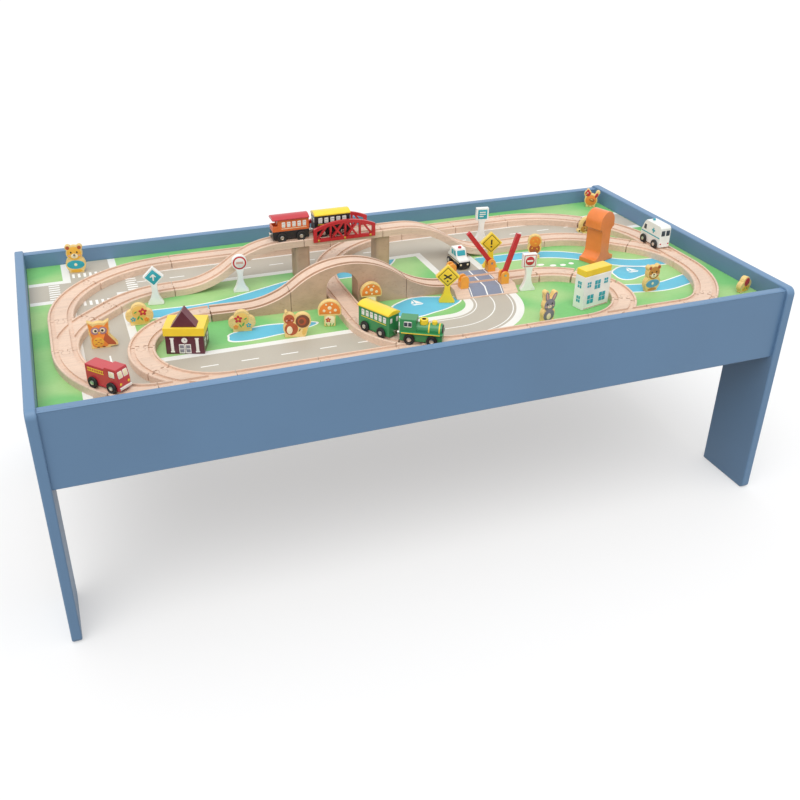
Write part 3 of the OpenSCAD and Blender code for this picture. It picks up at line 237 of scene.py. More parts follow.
class Form:
    """Gathers surfaces, given in millimetres in one local frame, into a single piece."""

    def __init__(self, origin=(0.0, 0.0, 0.0), axes=np.eye(3)):
        self.origin = np.asarray(origin, float)
        self.axes = np.asarray(axes, float)
        self.points = []
        self.faces = []
        self.finishes = []

    def shell(self, rows, finish):
        """Closed skin over rows of points: each row closes on itself, and the end rows are capped."""
        rows = np.asarray(rows, float)
        count, around = rows.shape[:2]
        row, column = np.meshgrid(np.arange(count - 1), np.arange(around), indexing="ij")
        after = (column + 1) % around
        quads = np.stack([row * around + column, row * around + after,
                          (row + 1) * around + after, (row + 1) * around + column], -1).reshape(-1, 4)
        last = (count - 1) * around
        faces = [*quads.tolist(), range(around)[::-1], range(last, last + around)]
        start = sum(len(points) for points in self.points)
        self.points.append(self.origin + (rows.reshape(-1, 3) * MM) @ self.axes)
        self.faces += [[start + index for index in face] for face in faces]
        self.finishes += [finish] * len(faces)

    def lathe(self, profile, centre, basis, finish, segments=24):
        """Turns a profile of radius and height pairs about the third axis of a basis."""
        radius, height = np.asarray(profile, float).T
        angle = np.linspace(0, 2 * np.pi, segments, endpoint=False)
        u, v, w = np.asarray(basis, float)
        ring = np.cos(angle)[:, None] * u + np.sin(angle)[:, None] * v
        self.shell(np.asarray(centre) + radius[:, None, None] * ring + height[:, None, None] * w, finish)

    def pad(self, outline, high, finish, centre=(0, 0, 0), basis=TOP_SIDE, edge=0.15, low=-0.3):
        """Low raised patch on a face: an outline in the first two axes of a basis, lifted along the third."""
        outline = np.asarray(outline, float)
        u, v, w = np.asarray(basis, float)
        middle = outline.mean(0)
        inner = middle + (outline - middle) * (1 - edge / np.abs(outline - middle).max())
        rows = [ring[:, :1] * u + ring[:, 1:] * v + h * w
                for ring, h in ((outline, low), (outline, high - edge / 2), (inner, high))]
        self.shell(np.asarray(centre) + np.stack(rows), finish)

    def strip(self, path, heading, left, right, high, finish, low=-0.2):
        """Thin flat band carried along a path: left and right are its edges beside the path."""
        side = np.stack([-np.sin(heading), np.cos(heading)], -1)
        corners = ((left, high), (right, high), (right, low), (left, low))
        rows = [np.column_stack([path + side * d, np.full(len(path), h)]) for d, h in corners]
        self.shell(np.stack(rows, 1), finish)

    def piece(self, name, body, slot, replaces=(), sharp=40):
        """Makes the gathered surfaces a mesh object that rides on a body."""
        mesh = bpy.data.meshes.new(name)
        mesh.from_pydata(np.concatenate(self.points).tolist(), [], self.faces)
        materials = list(dict.fromkeys(self.finishes))
        mesh.polygons.foreach_set("material_index", [materials.index(finish) for finish in self.finishes])
        return dress(mesh, name, body, materials, replaces, sharp)


def dress(mesh, name, body, materials, replaces, sharp):
    """Gives a finished mesh its materials, smooth shading, body and replaced nodes."""
    for material in materials:
        mesh.materials.append(MATERIALS[material])
    mesh.polygons.foreach_set("use_smooth", np.ones(len(mesh.polygons), bool))
    mesh.set_sharp_from_angle(angle=math.radians(sharp))
    mesh.update()
    piece = bpy.data.objects.new(name, mesh)
    bpy.context.scene.collection.objects.link(piece)
    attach(piece, body)
    if replaces:
        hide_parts(*replaces)
    return piece


def ellipse(x, y, rx, ry=None, count=28):
    """Outline of an ellipse round a point."""
    angle = np.linspace(0, 2 * np.pi, count, endpoint=False)
    return np.stack([x + rx * np.cos(angle), y + (ry or rx) * np.sin(angle)], -1)


def rounded(x, y, w, h, r, steps=4):
    """Outline of a rectangle round a point, with round corners."""
    turn = np.arange(4)[:, None] * np.pi / 2 + np.linspace(0, np.pi / 2, steps)
    cx = np.array([1, -1, -1, 1])[:, None] * (w / 2 - r)
    cy = np.array([1, 1, -1, -1])[:, None] * (h / 2 - r)
    return np.stack([x + cx + r * np.cos(turn), y + cy + r * np.sin(turn)], -1).reshape(-1, 2)


def turned(outline, x, y, degrees):
    """An outline turned about the origin by an angle, then moved to a point."""
    c, s = math.cos(math.radians(degrees)), math.sin(math.radians(degrees))
    return outline @ np.array([[c, s], [-s, c]]) + (x, y)


def bar(x, y, l, w, turn):
    """Outline of a straight bar round a point, turned by an angle in degrees."""
    return turned(np.array([[l, -w], [l, w], [-l, w], [-l, -w]]) / 2, x, y, turn)


def oval(x, y, l, w, turn):
    """Outline of an ellipse round a point, turned by an angle in degrees."""
    return turned(ellipse(0, 0, l / 2, w / 2), x, y, turn)


def blob(x, y, rx, ry, waves, count=72):
    """Outline of a pond: an ellipse whose reach swells with sine waves of given number, size and phase."""
    angle = np.linspace(0, 2 * np.pi, count, endpoint=False)
    reach = 1 + sum(size * np.sin(times * angle + phase) for times, size, phase in waves)
    return np.stack([x + rx * reach * np.cos(angle), y + ry * reach * np.sin(angle)], -1)


def route(start, heading, moves, step=5.0):
    """Path of straights and arcs from a start: a move is a length, or a radius with a turn in degrees."""
    (x, y), a = start, math.radians(heading)
    points, turns = [np.array([[x, y]])], [np.array([a])]
    for move in moves:
        if isinstance(move, tuple):
            radius, turn = move[0], math.radians(move[1])
            reach = math.copysign(radius, turn)
            cx, cy = x - reach * math.sin(a), y + reach * math.cos(a)
            now = a + turn * np.linspace(0, 1, max(3, int(radius * abs(turn) / step)) + 1)[1:]
            line = np.stack([cx + reach * np.sin(now), cy - reach * np.cos(now)], -1)
        else:
            now = np.array([a])
            line = np.array([[x + move * math.cos(a), y + move * math.sin(a)]])
        points.append(line)
        turns.append(now)
        (x, y), a = line[-1], now[-1]
    return np.concatenate(points), np.concatenate(turns)


def stretch(path, heading, low, high, step=5.0):
    """The part of a path from one distance along it to another."""
    run = np.concatenate([[0], np.cumsum(np.linalg.norm(np.diff(path, axis=0), axis=1))])
    s = np.linspace(low, high, max(2, int((high - low) / step) + 1))
    points = np.stack([np.interp(s, run, path[:, i]) for i in (0, 1)], -1)
    return points, np.interp(s, run, heading)


def length(path):
    """Length of a path."""
    return float(np.linalg.norm(np.diff(path, axis=0), axis=1).sum())


# Pieces copied from CAD nodes

# In degrees: edges bent by more than the first are sharp, and faces bent by less than the second are one
SHARP, FLAT = 28, 1.5


def solids(node):
    """The closed solids of a CAD node as merged points and triangles, sorted along X."""
    mesh = frame["nodes"][node].data
    points = np.empty(len(mesh.vertices) * 3, np.float32)
    mesh.vertices.foreach_get("co", points)
    mesh.calc_loop_triangles()
    triangles = np.empty(len(mesh.loop_triangles) * 3, np.int32)
    mesh.loop_triangles.foreach_get("vertices", triangles)
    keys, merged = np.unique(np.round(points.reshape(-1, 3), 6), axis=0, return_inverse=True)
    triangles = merged.reshape(-1)[triangles].reshape(-1, 3)
    triangles = triangles[(triangles != np.roll(triangles, 1, 1)).all(1)]
    label = np.arange(len(keys))
    while True:
        lower = label.copy()
        np.minimum.at(lower, triangles.ravel(), np.repeat(label[triangles].min(1), 3))
        lower = lower[lower]
        if (lower == label).all():
            break
        label = lower
    found = []
    for one in np.unique(label[triangles[:, 0]]):
        mine = triangles[label[triangles[:, 0]] == one]
        used, index = np.unique(mine, return_inverse=True)
        found.append((keys[used], index.reshape(-1, 3)))
    return sorted(found, key=lambda solid: solid[0][:, 0].mean())


def copied(name, node, solid, materials, pick=None):
    """Copy of a CAD node's solid, where pick gives each face a material from its normal."""
    mesh = bpy.data.meshes.new(name)
    mesh.from_pydata(solid[0].tolist(), [], solid[1].tolist())
    for face in mesh.polygons if pick else ():
        face.material_index = pick(face.normal)
    return dress(mesh, name, ROOT, materials, (node,), SHARP)


def eased(name, node, solid, slot, materials, width, body=ROOT, pick=None, keep=None, rings=2, split=True):
    """Copy of a CAD node's solid with whole flat faces, and sharp edges rounded to a width in millimetres.

    pick gives each face a material from its middle and normal, keep tells which edges stay sharp, and split
    cuts many-sided faces into triangles first, so that they stay simple round openings.
    """
    mesh = bpy.data.meshes.new(name)
    mesh.from_pydata(solid[0].tolist(), [], solid[1].tolist())
    work = bmesh.new()
    work.from_mesh(mesh)
    bmesh.ops.dissolve_limit(work, angle_limit=math.radians(FLAT), verts=work.verts, edges=work.edges)
    weight = work.edges.layers.float.new("bevel_weight_edge")
    for edge in work.edges:
        bent = edge.is_manifold and edge.is_convex and edge.calc_face_angle() > math.radians(SHARP)
        middle = np.array((edge.verts[0].co + edge.verts[1].co) / 2)
        edge[weight] = float(bent and not (keep and keep(middle, edge.calc_length())))
    for face in work.faces if pick else ():
        face.material_index = pick(np.array(face.calc_center_median()), np.array(face.normal))
    if split:
        bmesh.ops.triangulate(work, faces=[face for face in work.faces if len(face.verts) > 4])
    work.to_mesh(mesh)
    work.free()
    piece = dress(mesh, name, body, materials, (node,), SHARP)
    round_edges = piece.modifiers.new("rounded edges", "BEVEL")
    round_edges.width = width * MM
    round_edges.segments = rings
    round_edges.limit_method = "WEIGHT"
    round_edges.use_clamp_overlap = False
    round_edges.loop_slide = False
    round_edges.harden_normals = True
    return piece


def eased_each(name, node, *look, **ways):
    """Eased copies of all the solids of a CAD node, numbered along X."""
    for number, solid in enumerate(solids(node), 1):
        eased(f"{name}_{number}", node, solid, *look, **ways)


def flat_frame(solid):
    """Frame of an upright flat piece: foot middle, the directions right, up and out, width and thickness."""
    points, triangles = solid
    corner = points[triangles]
    cross = np.cross(corner[:, 1] - corner[:, 0], corner[:, 2] - corner[:, 0])
    size = np.linalg.norm(cross, axis=1)
    upright = np.abs(cross[:, 2]) < 1e-3 * size
    normals = np.round(cross[upright] / size[upright, None], 2)
    keys, index = np.unique(normals, axis=0, return_inverse=True)
    front = keys[np.argmax(np.bincount(index.reshape(-1), size[upright]))]
    front = front / np.linalg.norm(front) * (-1 if front[1] > 0 else 1)
    right = np.cross(Z, front)
    middle = points.mean(0)
    across = (points - middle) @ right
    deep = (points - middle) @ front
    origin = middle + right * (across.min() + across.max()) / 2 + front * deep.max()
    origin[2] = points[:, 2].min()
    return origin, np.stack([right, Z, front]), np.ptp(across) / MM, np.ptp(deep) / MM


def local(place, points):
    """Points of the model in metres, as millimetres in a local frame."""
    return (np.asarray(points) - place[0]) @ place[1].T / MM


def coat(node, material):
    """Gives a CAD node, kept as it is, a finished material in each of its slots."""
    for slot in frame["nodes"][node].material_slots:
        slot.material = MATERIALS[material]


# Settings that a user would change


def colour_setting(name, code, text):
    """A colour property with its default given as an sRGB hex colour."""
    return bpy.props.FloatVectorProperty(name=name, description=text, subtype="COLOR", size=4, min=0, max=1,
                                         default=linear(code))


def length_setting(name, size_mm, text, low=0.1, high=100):
    """A length property with its default and limits given in millimetres."""
    return bpy.props.FloatProperty(name=name, description=text, unit="LENGTH", default=size_mm * MM,
                                   min=low * MM, max=high * MM)


class TrainTableTray(bpy.types.PropertyGroup):
    """Finish of the table itself."""

    paint: colour_setting("Paint", "#6A8BAD", "Satin paint on the slab ends and side boards")
    edge: length_setting("Rounded edge", 2.4, "Width of the rounded edges of the painted boards", 0.5, 4)


class TrainTableBoard(bpy.types.PropertyGroup):
    """Colours and sizes of the print on the board."""

    meadow: colour_setting("Meadow", "#A2CD86", "Light green of the fields")
    field: colour_setting("Field", "#79C274", "Deeper green of the fields")
    road: colour_setting("Road", "#BDB6A8", "Grey of the roads")
    water: colour_setting("Water", "#63BFDA", "Blue of the ponds and streams")
    road_w: length_setting("Road width", 70, "Width of a road between its pavements", 50, 90)
    pavement_w: length_setting("Pavement width", 13, "Width of the white pavement beside a road", 4, 20)


class TrainTableRailway(bpy.types.PropertyGroup):
    """Finish of the wooden railway."""

    beech: colour_setting("Beech", "#E6C9B3", "Lacquered beech of the track")
    # The darker block colour is painted shade: the track's beech darkened for the upright faces of the piers
    # and viaduct
    block: colour_setting("Blocks", "#C6A58C", "Darker wood of the piers and viaduct sides")
    truss: colour_setting("Trusses and arms", "#C3262E", "Red paint on the bridge trusses and barrier arms")
    post: colour_setting("Posts", "#F0A23A", "Amber paint on the barrier posts")


class TrainTableToys(bpy.types.PropertyGroup):
    """Paints of the vehicles, buildings and signs."""

    green: colour_setting("Green", "#348A50", "Engine and its coach")
    yellow: colour_setting("Yellow", "#F3D130", "Roofs, funnel and warning signs")
    red: colour_setting("Red", "#C43840", "Fire truck and the red roof")
    orange: colour_setting("Orange", "#DE6A32", "Orange coach")
    tower: colour_setting("Tower", "#E8813A", "Loading tower")
    maroon: colour_setting("Maroon", "#5A1F30", "Station walls")
    white: colour_setting("White", "#F0F0EC", "Ambulance, cabin, clinic and signs")
    black: colour_setting("Black", "#1D1D20", "Black coach, chassis and patrol car")
    ply: colour_setting("Cut-out wood", "#EFCF86", "Bare edges of the cut-out figures")
    edge: length_setting("Rounded edge", 0.9, "Width of the rounded edges of the toys", 0.2, 1.5)


class TrainTableStage(bpy.types.PropertyGroup):
    """Floor and light."""

    floor: colour_setting("Floor", "#F4F4F4", "Pale floor under the table")
    sun: bpy.props.FloatProperty(name="Lamp", description="Strength of the large lamp", default=1.4, min=0,
                                 max=10)
    sky: bpy.props.FloatProperty(name="Room light", description="Strength of the even light", default=0.86,
                                 min=0, max=3)


def make_materials(scene):
    """Makes every finish once, from the settings."""
    if MATERIALS:
        return
    board, rail, toys = scene.traintable_board, scene.traintable_railway, scene.traintable_toys
    made = [
        satin_paint("satin_blue_paint", scene.traintable_tray.paint),
        bare_wood("lacquered_beech", rail.beech),
        # Darker copy of the beech: painted shade for upright faces
        bare_wood("oiled_beech_block", rail.block, (40, 4, 24), 0.55, 0.16),
        bare_wood("sawn_pine", linear("#DDBE8E"), (90, 6, 6), 0.65, 0.2),
        bare_wood("pressed_hardboard", linear("#A97C52"), (4, 4, 4), 0.6, 0.12),
        bare_wood("sanded_plywood", toys.ply, (30, 3, 2.2), 0.55, 0.14),
        plated_metal("zinc_plated_steel", linear("#B9BDC2")),
        plated_metal("nickel_plated_steel", linear("#D9D6CE"), 0.22),
        plated_metal("brass_stud", linear("#D8B24A"), 0.25),
        moulded_plastic("black_abs", linear("#1A1A1C")),
        grass_print("meadow_print", board.meadow, board.field),
        print_ink("road_print", board.road, 60, 0.04),
        print_ink("pavement_print", linear("#EDEDE8"), 50, 0.03),
        print_ink("line_print", linear("#F6F6F2"), 30, 0.03),
        print_ink("water_print", board.water, 70, 0.12),
        print_ink("slate_road_print", linear("#838A9D"), 30, 0.06),
    ]
    # The lighter maroon (#74404F) of the station roof's slopes is a painted highlight on the roof's own
    # maroon
    paints = {"red": toys.red, "truss_red": rail.truss, "amber": rail.post, "green": toys.green,
              "yellow": toys.yellow, "orange": toys.orange, "tower_orange": toys.tower, "maroon": toys.maroon,
              "plum": linear("#74404F"), "white": toys.white, "black": toys.black}
    made += [toy_paint(f"{name}_gloss_paint", colour) for name, colour in paints.items()]
    inks = {"window_white": "#EDEBE4", "teal": "#2FA6B4", "dark": "#2A2320", "red": "#C8323A",
            "rust": "#B4552F", "brown": "#7A4A2E", "golden": "#EDB23C", "orange": "#EE8A35",
            "grey": "#83828A", "pink": "#D9A79C", "mauve": "#A9838F", "bronze": "#BF8238", "cream": "#F6E7C0",
            "sky_blue": "#5F9FC4", "leaf": "#5FA84A", "tan": "#E9BE62", "yellow": "#F2CE35",
            "glass": "#39424C"}
    made += [print_ink(f"{name}_ink", linear(code), 12, 0.06, 0.45) for name, code in inks.items()]
    MATERIALS.update({material.name: material for material in made})


class TrainTableOperator:
    """Shared by all the operators: makes the finishes first and runs the piece's own work."""

    bl_options = {"REGISTER", "UNDO"}

    def execute(self, context):
        make_materials(context.scene)
        self.make(context.scene)
        return {"FINISHED"}


# Table

# In millimetres: edges this near to a bolt, and an apron's edges shorter than this, stay sharp
BOLT_SEAT_R, APRON_EDGE = 14, 300


class TRAINTABLE_OT_tray(TrainTableOperator, bpy.types.Operator):
    """Paints the slab ends and side boards with rounded edges, and finishes battens and fasteners."""

    bl_idname = "traintable.tray"
    bl_label = "Tray and legs"

    def make(self, scene):
        width = scene.traintable_tray.edge / MM
        bolts = [solid[0].mean(0) for solid in solids("connector_bolts")]

        def beside_bolt(middle, length):
            return any(np.hypot(*(middle - bolt)[1:]) < BOLT_SEAT_R * MM for bolt in bolts)

        def inside_board(middle, length):
            return length < APRON_EDGE * MM

        for node, keep in (("left_end_panel", beside_bolt), ("right_end_panel", beside_bolt),
                           ("front_apron", inside_board), ("back_apron", inside_board)):
            eased(f"painted_{node}", node, solids(node)[0], "paint", ["satin_blue_paint"], width, keep=keep,
                  rings=3, split=keep is beside_bolt)
        copied("printed_playboard", "playboard", solids("playboard")[0],
               ["meadow_print", "pressed_hardboard"], lambda normal: int(normal[2] < 0.5))
        coat("battens", "sawn_pine")
        for node in ("connector_bolts", "barrel_nuts", "batten_screws"):
            coat(node, "zinc_plated_steel")


# Print on the board

ROAD, PAVEMENT, LINE, WATER = "road_print", "pavement_print", "line_print", "water_print"
# Heights of the layers of ink, and the steps between layers of one kind that cross
WATER_H, PAVEMENT_H, ROAD_H, LINE_H = 0.08, 0.12, 0.16, 0.2
WATER_STEP, ROAD_STEP = 0.006, 0.008
FLAT_EDGE = 0.02
BACK_ROAD_Y, LEFT_ROAD_X, FRONT_ROAD_Y, BEND_R = 155, -478, -197, 92
DASH_L, DASH_GAP = 26, 34
DASH_W, BEND_LINE_W, LINE_INSET = 2.6, 1.8, 5
ZEBRA_W, ZEBRA_L, ZEBRA_OFF, ZEBRA_INSET, ZEBRA_COUNT = 4.4, 18, 16, 6, 7
STREAM_W, BANK, POND_BANK, WATER_MARGIN = 30, 3, 3.5, 26


class TRAINTABLE_OT_board_print(TrainTableOperator, bpy.types.Operator):
    """Prints roads, pavements, lane lines, crossings, ponds and streams on the board, in thin layers."""

    bl_idname = "traintable.board_print"
    bl_label = "Print on the board"

    def make(self, scene):
        low, high = (np.array(corner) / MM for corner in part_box("playboard"))
        (west, south), (east, north) = low[:2] + 1, high[:2] - 1
        form = Form((0, 0, BOARD_Z))
        self.roads(form, scene.traintable_board, west, south, east, north)
        self.water(form, np.array([east, north]) - WATER_MARGIN)
        form.piece("printed_roads_and_water", ROOT, "board_print")

    def roads(self, form, settings, west, south, east, north):
        """A road along the back, one down the left, and one along the front that bends up to the crossing."""
        half = settings.road_w / MM / 2
        wide = half + settings.pavement_w / MM
        road_x = crossing_place()[0][0] / MM
        rise = BACK_ROAD_Y - FRONT_ROAD_Y
        bend_run = BEND_R * math.pi / 2
        back = route((west, BACK_ROAD_Y), 0, [east - west])
        left = route((LEFT_ROAD_X, south), 90, [north - south])
        front = route((LEFT_ROAD_X, FRONT_ROAD_Y), 0,
                      [road_x - BEND_R - LEFT_ROAD_X, (BEND_R, 90), rise - BEND_R])
        for i, road in enumerate((back, left, front)):
            form.strip(*road, wide, -wide, PAVEMENT_H + i * ROAD_STEP, PAVEMENT)
            form.strip(*road, half, -half, ROAD_H + i * ROAD_STEP, ROAD)

        def line(path, heading, w, offset=0):
            form.strip(path, heading, offset + w / 2, offset - w / 2, LINE_H, LINE)

        # Dashed lines stop before a junction, a bend and the edge of the board
        runs = ((back, 30, LEFT_ROAD_X - west - 60), (back, LEFT_ROAD_X - west + 70, road_x - west - 50),
                (back, road_x - west + 50, east - west - 20), (left, 20, BACK_ROAD_Y - south - 74),
                (front, 60, length(front[0]) - rise - 90))
        for road, start, end in runs:
            for s in np.arange(start, end - DASH_L, DASH_L + DASH_GAP):
                line(*stretch(*road, s, s + DASH_L), DASH_W)
        bend_start = length(front[0]) - (rise - BEND_R) - bend_run
        for offset in (LINE_INSET - half, 0, half - LINE_INSET):
            line(*stretch(*front, bend_start - 60, bend_start + bend_run + 2), BEND_LINE_W, offset)

        for side in (-1, 1):
            start = side * (wide + ZEBRA_OFF) - ZEBRA_L / 2
            for across in np.linspace(ZEBRA_INSET - half, half - ZEBRA_INSET, ZEBRA_COUNT):
                line(*route((LEFT_ROAD_X + across, BACK_ROAD_Y + start), 90, [ZEBRA_L]), ZEBRA_W)
                line(*route((LEFT_ROAD_X + start, BACK_ROAD_Y + across), 0, [ZEBRA_L]), ZEBRA_W)

    def water(self, form, reach):
        """Streams and ponds with pale banks, stepping stones and two boats, as far as a reach."""
        streams = (route((-408, 12), -4, [60, (240, 24), 90, (260, -20), 40, (90, 60), 26]),
                   route((196, 46), -2, [90, (160, -42), 40, (120, 40), 20, (140, -24), 60]),
                   route((376, -152), -14, [40, (110, 30), 50, (150, 16), 60]))
        for i, (path, heading) in enumerate(streams):
            on_board = (np.abs(path) < reach).all(1)
            for bank, layer, finish in ((0, i, WATER), (BANK, i - 5, LINE)):
                edge, high = STREAM_W / 2 + bank, WATER_H + layer * WATER_STEP
                form.strip(path[on_board], heading[on_board], edge, -edge, high, finish)

        def flat(outline, high, finish):
            form.pad(outline, high, finish, edge=FLAT_EDGE)

        waves = ((2, 0.12, 0.4), (3, 0.10, 1.7), (5, 0.05, 0.2))
        for x, y, rx, ry in ((28, -104, 56, 34), (-236, -112, 66, 20), (430, -92, 34, 26)):
            for bank, layer, finish in ((POND_BANK, -1, LINE), (0, 4, WATER)):
                flat(blob(x, y, rx + bank, ry + bank, waves), WATER_H + layer * WATER_STEP, finish)
        for i, (x, y) in enumerate(((296, -8), (316, -18), (334, -22), (352, -20))):
            flat(ellipse(x, y, 7 - i * 0.7, 4.5), LINE_H, LINE)
        boat = (((-1, 0), (10, 0), (-1, 17)), ((-3, 2), (-3, 14), (-9, 2)),
                ((-10, -2), (-6, -6), (8, -6), (12, -2)))
        for spot in ((436, -88), (20, -92)):
            for outline in boat:
                flat(np.array(outline) + spot, LINE_H, LINE)


# Railway

# Distance of the barriers' hinges from the crossing's middle along the track
HINGE_OFF = 37
# In millimetres: width of an end face, its least height, the farthest peg, and how near a plane's points lie
END_W, END_H, PEG_L, ON_PLANE = (30, 41), 8, 22, 0.03
# Triangles lower than this many millimetres count as needles
NEEDLE_H = 5e-4


def crossing_place():
    """Frame of the level crossing on the board: its middle, and the directions along, across and up."""
    near, far = (np.array(JOINTS[f"{side}_barrier_arm_hinge"]["pos_m"]) for side in ("near", "far"))
    across = (far - near) / np.linalg.norm(far - near)
    along = np.cross(across, Z)
    middle = (near + far) / 2 - along * HINGE_OFF * MM
    middle[2] = BOARD_Z
    return middle, np.stack([along, across, Z])


class TRAINTABLE_OT_railway(TrainTableOperator, bpy.types.Operator):
    """Finishes the track in beech, the piers and the viaduct's upright faces in a darker beech that is
    painted shade, and paints the studded trusses.
    """

    bl_idname = "traintable.railway"
    bl_label = "Track, bridge and viaduct"

    def make(self, scene):
        # The piers are wholly in the darker beech: painted shade on their upright faces
        eased_each("bridge_pier", "bridge_piers", "beech", ["oiled_beech_block"], 0.8)
        for node in ("outer_curves", "inner_curves", "straight_tracks", "switch_tracks", "bridge_ramps",
                     "bridge_deck"):
            copied(f"{node}_in_beech", node, self.parted(node), ["lacquered_beech"])
        # Upright faces of the viaduct get the darker beech, painted shade on its sides; its tops stay
        # lacquered beech
        for node in ("viaduct_arch", "viaduct_ramps"):
            copied(f"{node}_in_beech", node, self.parted(node),
                   ["lacquered_beech", "oiled_beech_block"], lambda normal: int(abs(normal[2]) < 0.4))
        eased_each("bridge_truss", "bridge_trusses", "red_paint", ["truss_red_gloss_paint"], 0.5)
        low, high = (np.array(corner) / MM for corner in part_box("bridge_trusses"))
        studs = Form()
        dome = ((2.0, -0.4), (2.0, 0.2), (1.6, 0.5), (0.7, 0.65))
        for y, basis in ((low[1], RIGHT_SIDE), (high[1], LEFT_SIDE)):
            for x in (low[0] + 9, high[0] - 9, (low[0] + high[0]) / 2):
                studs.lathe(dome, (x, y, low[2] + 3), basis, "brass_stud", 20)
        studs.piece("bridge_truss_studs", ROOT, "steel")

    def without_needles(self, points, triangles):
        """Turns the long edge of each triangle without height, so that it shares its neighbour's height."""
        triangles = triangles.copy()
        owner = {(int(t[j]), int(t[j - 2])): i for i, t in enumerate(triangles) for j in range(3)}
        for i in range(len(triangles)):
            side = np.linalg.norm(np.roll(points[triangles[i]], -1, 0) - points[triangles[i]], axis=1)
            a, c, b = (int(v) for v in np.roll(triangles[i], -int(side.argmax())))
            height = np.linalg.norm(np.cross(points[c] - points[a], points[b] - points[a])) / side.max()
            if height < NEEDLE_H and (c, a) in owner:
                other = owner[c, a]
                d = int(next(v for v in triangles[other] if v not in (a, c)))
                for index, corner in ((i, (b, a, d)), (other, (c, b, d))):
                    triangles[index] = corner
                    owner.update({(corner[j], corner[j - 2]): index for j in range(3)})
        return triangles

    def end_planes(self, corners, faces):
        """Planes of a strip's end faces: upright, as wide as the track, with only a peg in front of them."""
        first, second, third = (corners[faces[:, i]] for i in range(3))
        normal = np.cross(second - first, third - first)
        size = np.linalg.norm(normal, axis=1)
        upright = (size > 0.5) & (np.abs(normal[:, 2]) < 0.02 * size)
        normal = normal[upright] / size[upright, None]
        planes = np.column_stack([normal, (first[upright] * normal).sum(1)])
        ends = []
        for plane in planes[np.unique(planes.round(1), axis=0, return_index=True)[1]]:
            depth = corners @ plane[:3] - plane[3]
            face = corners[np.abs(depth) < ON_PLANE]
            across, tall = np.ptp(face @ np.cross(Z, plane[:3])), np.ptp(face[:, 2])
            known = any(abs(end - plane).max() < 2 * ON_PLANE for end in ends)
            if END_W[0] < across < END_W[1] and tall > END_H and depth.max() < PEG_L and not known:
                ends.append(plane)
        return ends

    def parted(self, node, gap=0.45):
        """The strips of a node as one solid, with each end face moved in by a gap."""
        points, triangles, count = [], [], 0
        for corners, faces in solids(node):
            corners = corners / MM
            moved = corners.copy()
            for end in self.end_planes(corners, faces):
                moved[np.abs(corners @ end[:3] - end[3]) < ON_PLANE] -= end[:3] * gap
            points.append(moved * MM)
            triangles.append(self.without_needles(moved, faces) + count)
            count += len(corners)
        return np.concatenate(points), np.concatenate(triangles)


class TRAINTABLE_OT_crossing(TrainTableOperator, bpy.types.Operator):
    """Dresses the level crossing: printed road slabs with a lane line, painted posts, pins and arms."""

    bl_idname = "traintable.crossing"
    bl_label = "Level crossing"

    def make(self, scene):
        coat("crossing_track", "lacquered_beech")
        coat("barrier_pins", "zinc_plated_steel")
        self.road_print()
        eased_each("barrier_post", "barrier_posts", "amber_paint", ["amber_gloss_paint"], 0.4)
        for side in ("near", "far"):
            node = f"{side}_barrier_arm"
            eased(f"{node}_painted", node, solids(node)[0], "red_paint", ["truss_red_gloss_paint"],
                  scene.traintable_toys.edge / MM * 0.5, node)

    def road_print(self):
        """Print on the slabs between the grooves and on both slopes, with lines in the middle and beside."""
        half, flat, edge, top, lip, margin = 30, 36, 52, 12, 1.5, 1.5
        groove_in, groove_out, clear = 9.5, 16.5, 0.6
        skin, under = 0.12, 0.3
        slope = (top - lip) / (edge - flat)
        slabs = ((margin - edge, -flat), (-flat, -groove_out - clear), (clear - groove_in, groove_in - clear),
                 (groove_out + clear, flat), (flat, edge - margin))
        layers = ((-half, half, skin, "slate_road_print"), (-1.2, 1.2, 2 * skin, LINE),
                  (2 - half, 3.4 - half, 2 * skin, LINE), (half - 3.4, half - 2, 2 * skin, LINE))
        road = Form(*crossing_place())
        for slab in slabs:
            heights = [(y, top - slope * max(abs(y) - flat, 0)) for y in slab]
            for x0, x1, lift, finish in layers:
                corners = ((x0, lift), (x1, lift), (x1, -under), (x0, -under))
                road.shell([[(x, y, z + h) for x, h in corners] for y, z in heights], finish)
        road.piece("crossing_road_print", ROOT, "beech")


# Vehicles

# The lowest node of each vehicle, and its height over the rail or road
VEHICLES = {"engine": ("engine_body", 2), "green_coach": ("green_coach_body", 2),
            "orange_coach": ("orange_coach_chassis", 2), "black_coach": ("black_coach_body", 2),
            "ambulance": ("ambulance_body", 2), "fire_truck": ("fire_truck_body", 2),
            "patrol_car": ("patrol_car_body", 3)}
# Half the width of a cab, a coach or a van
BODY_Y = 11
# Height under which a vehicle's axle bores lie, length of their edges, and limits of couplings and magnets
BORE_TOP, BORE_EDGE, COUPLING_X, COUPLING_TOP = 12.2, 12, 32.6, 15
MAGNET_X, MAGNET_TOP, MAGNET_Y = 32.3, 14, 4
# Panels on a long side are printed on both sides, and those on an end on both halves
MIRRORED = {"side": SIDES, "front": ((FRONT_SIDE, 1), (FRONT_SIDE, -1)),
            "rear": ((REAR_SIDE, 1), (REAR_SIDE, -1))}


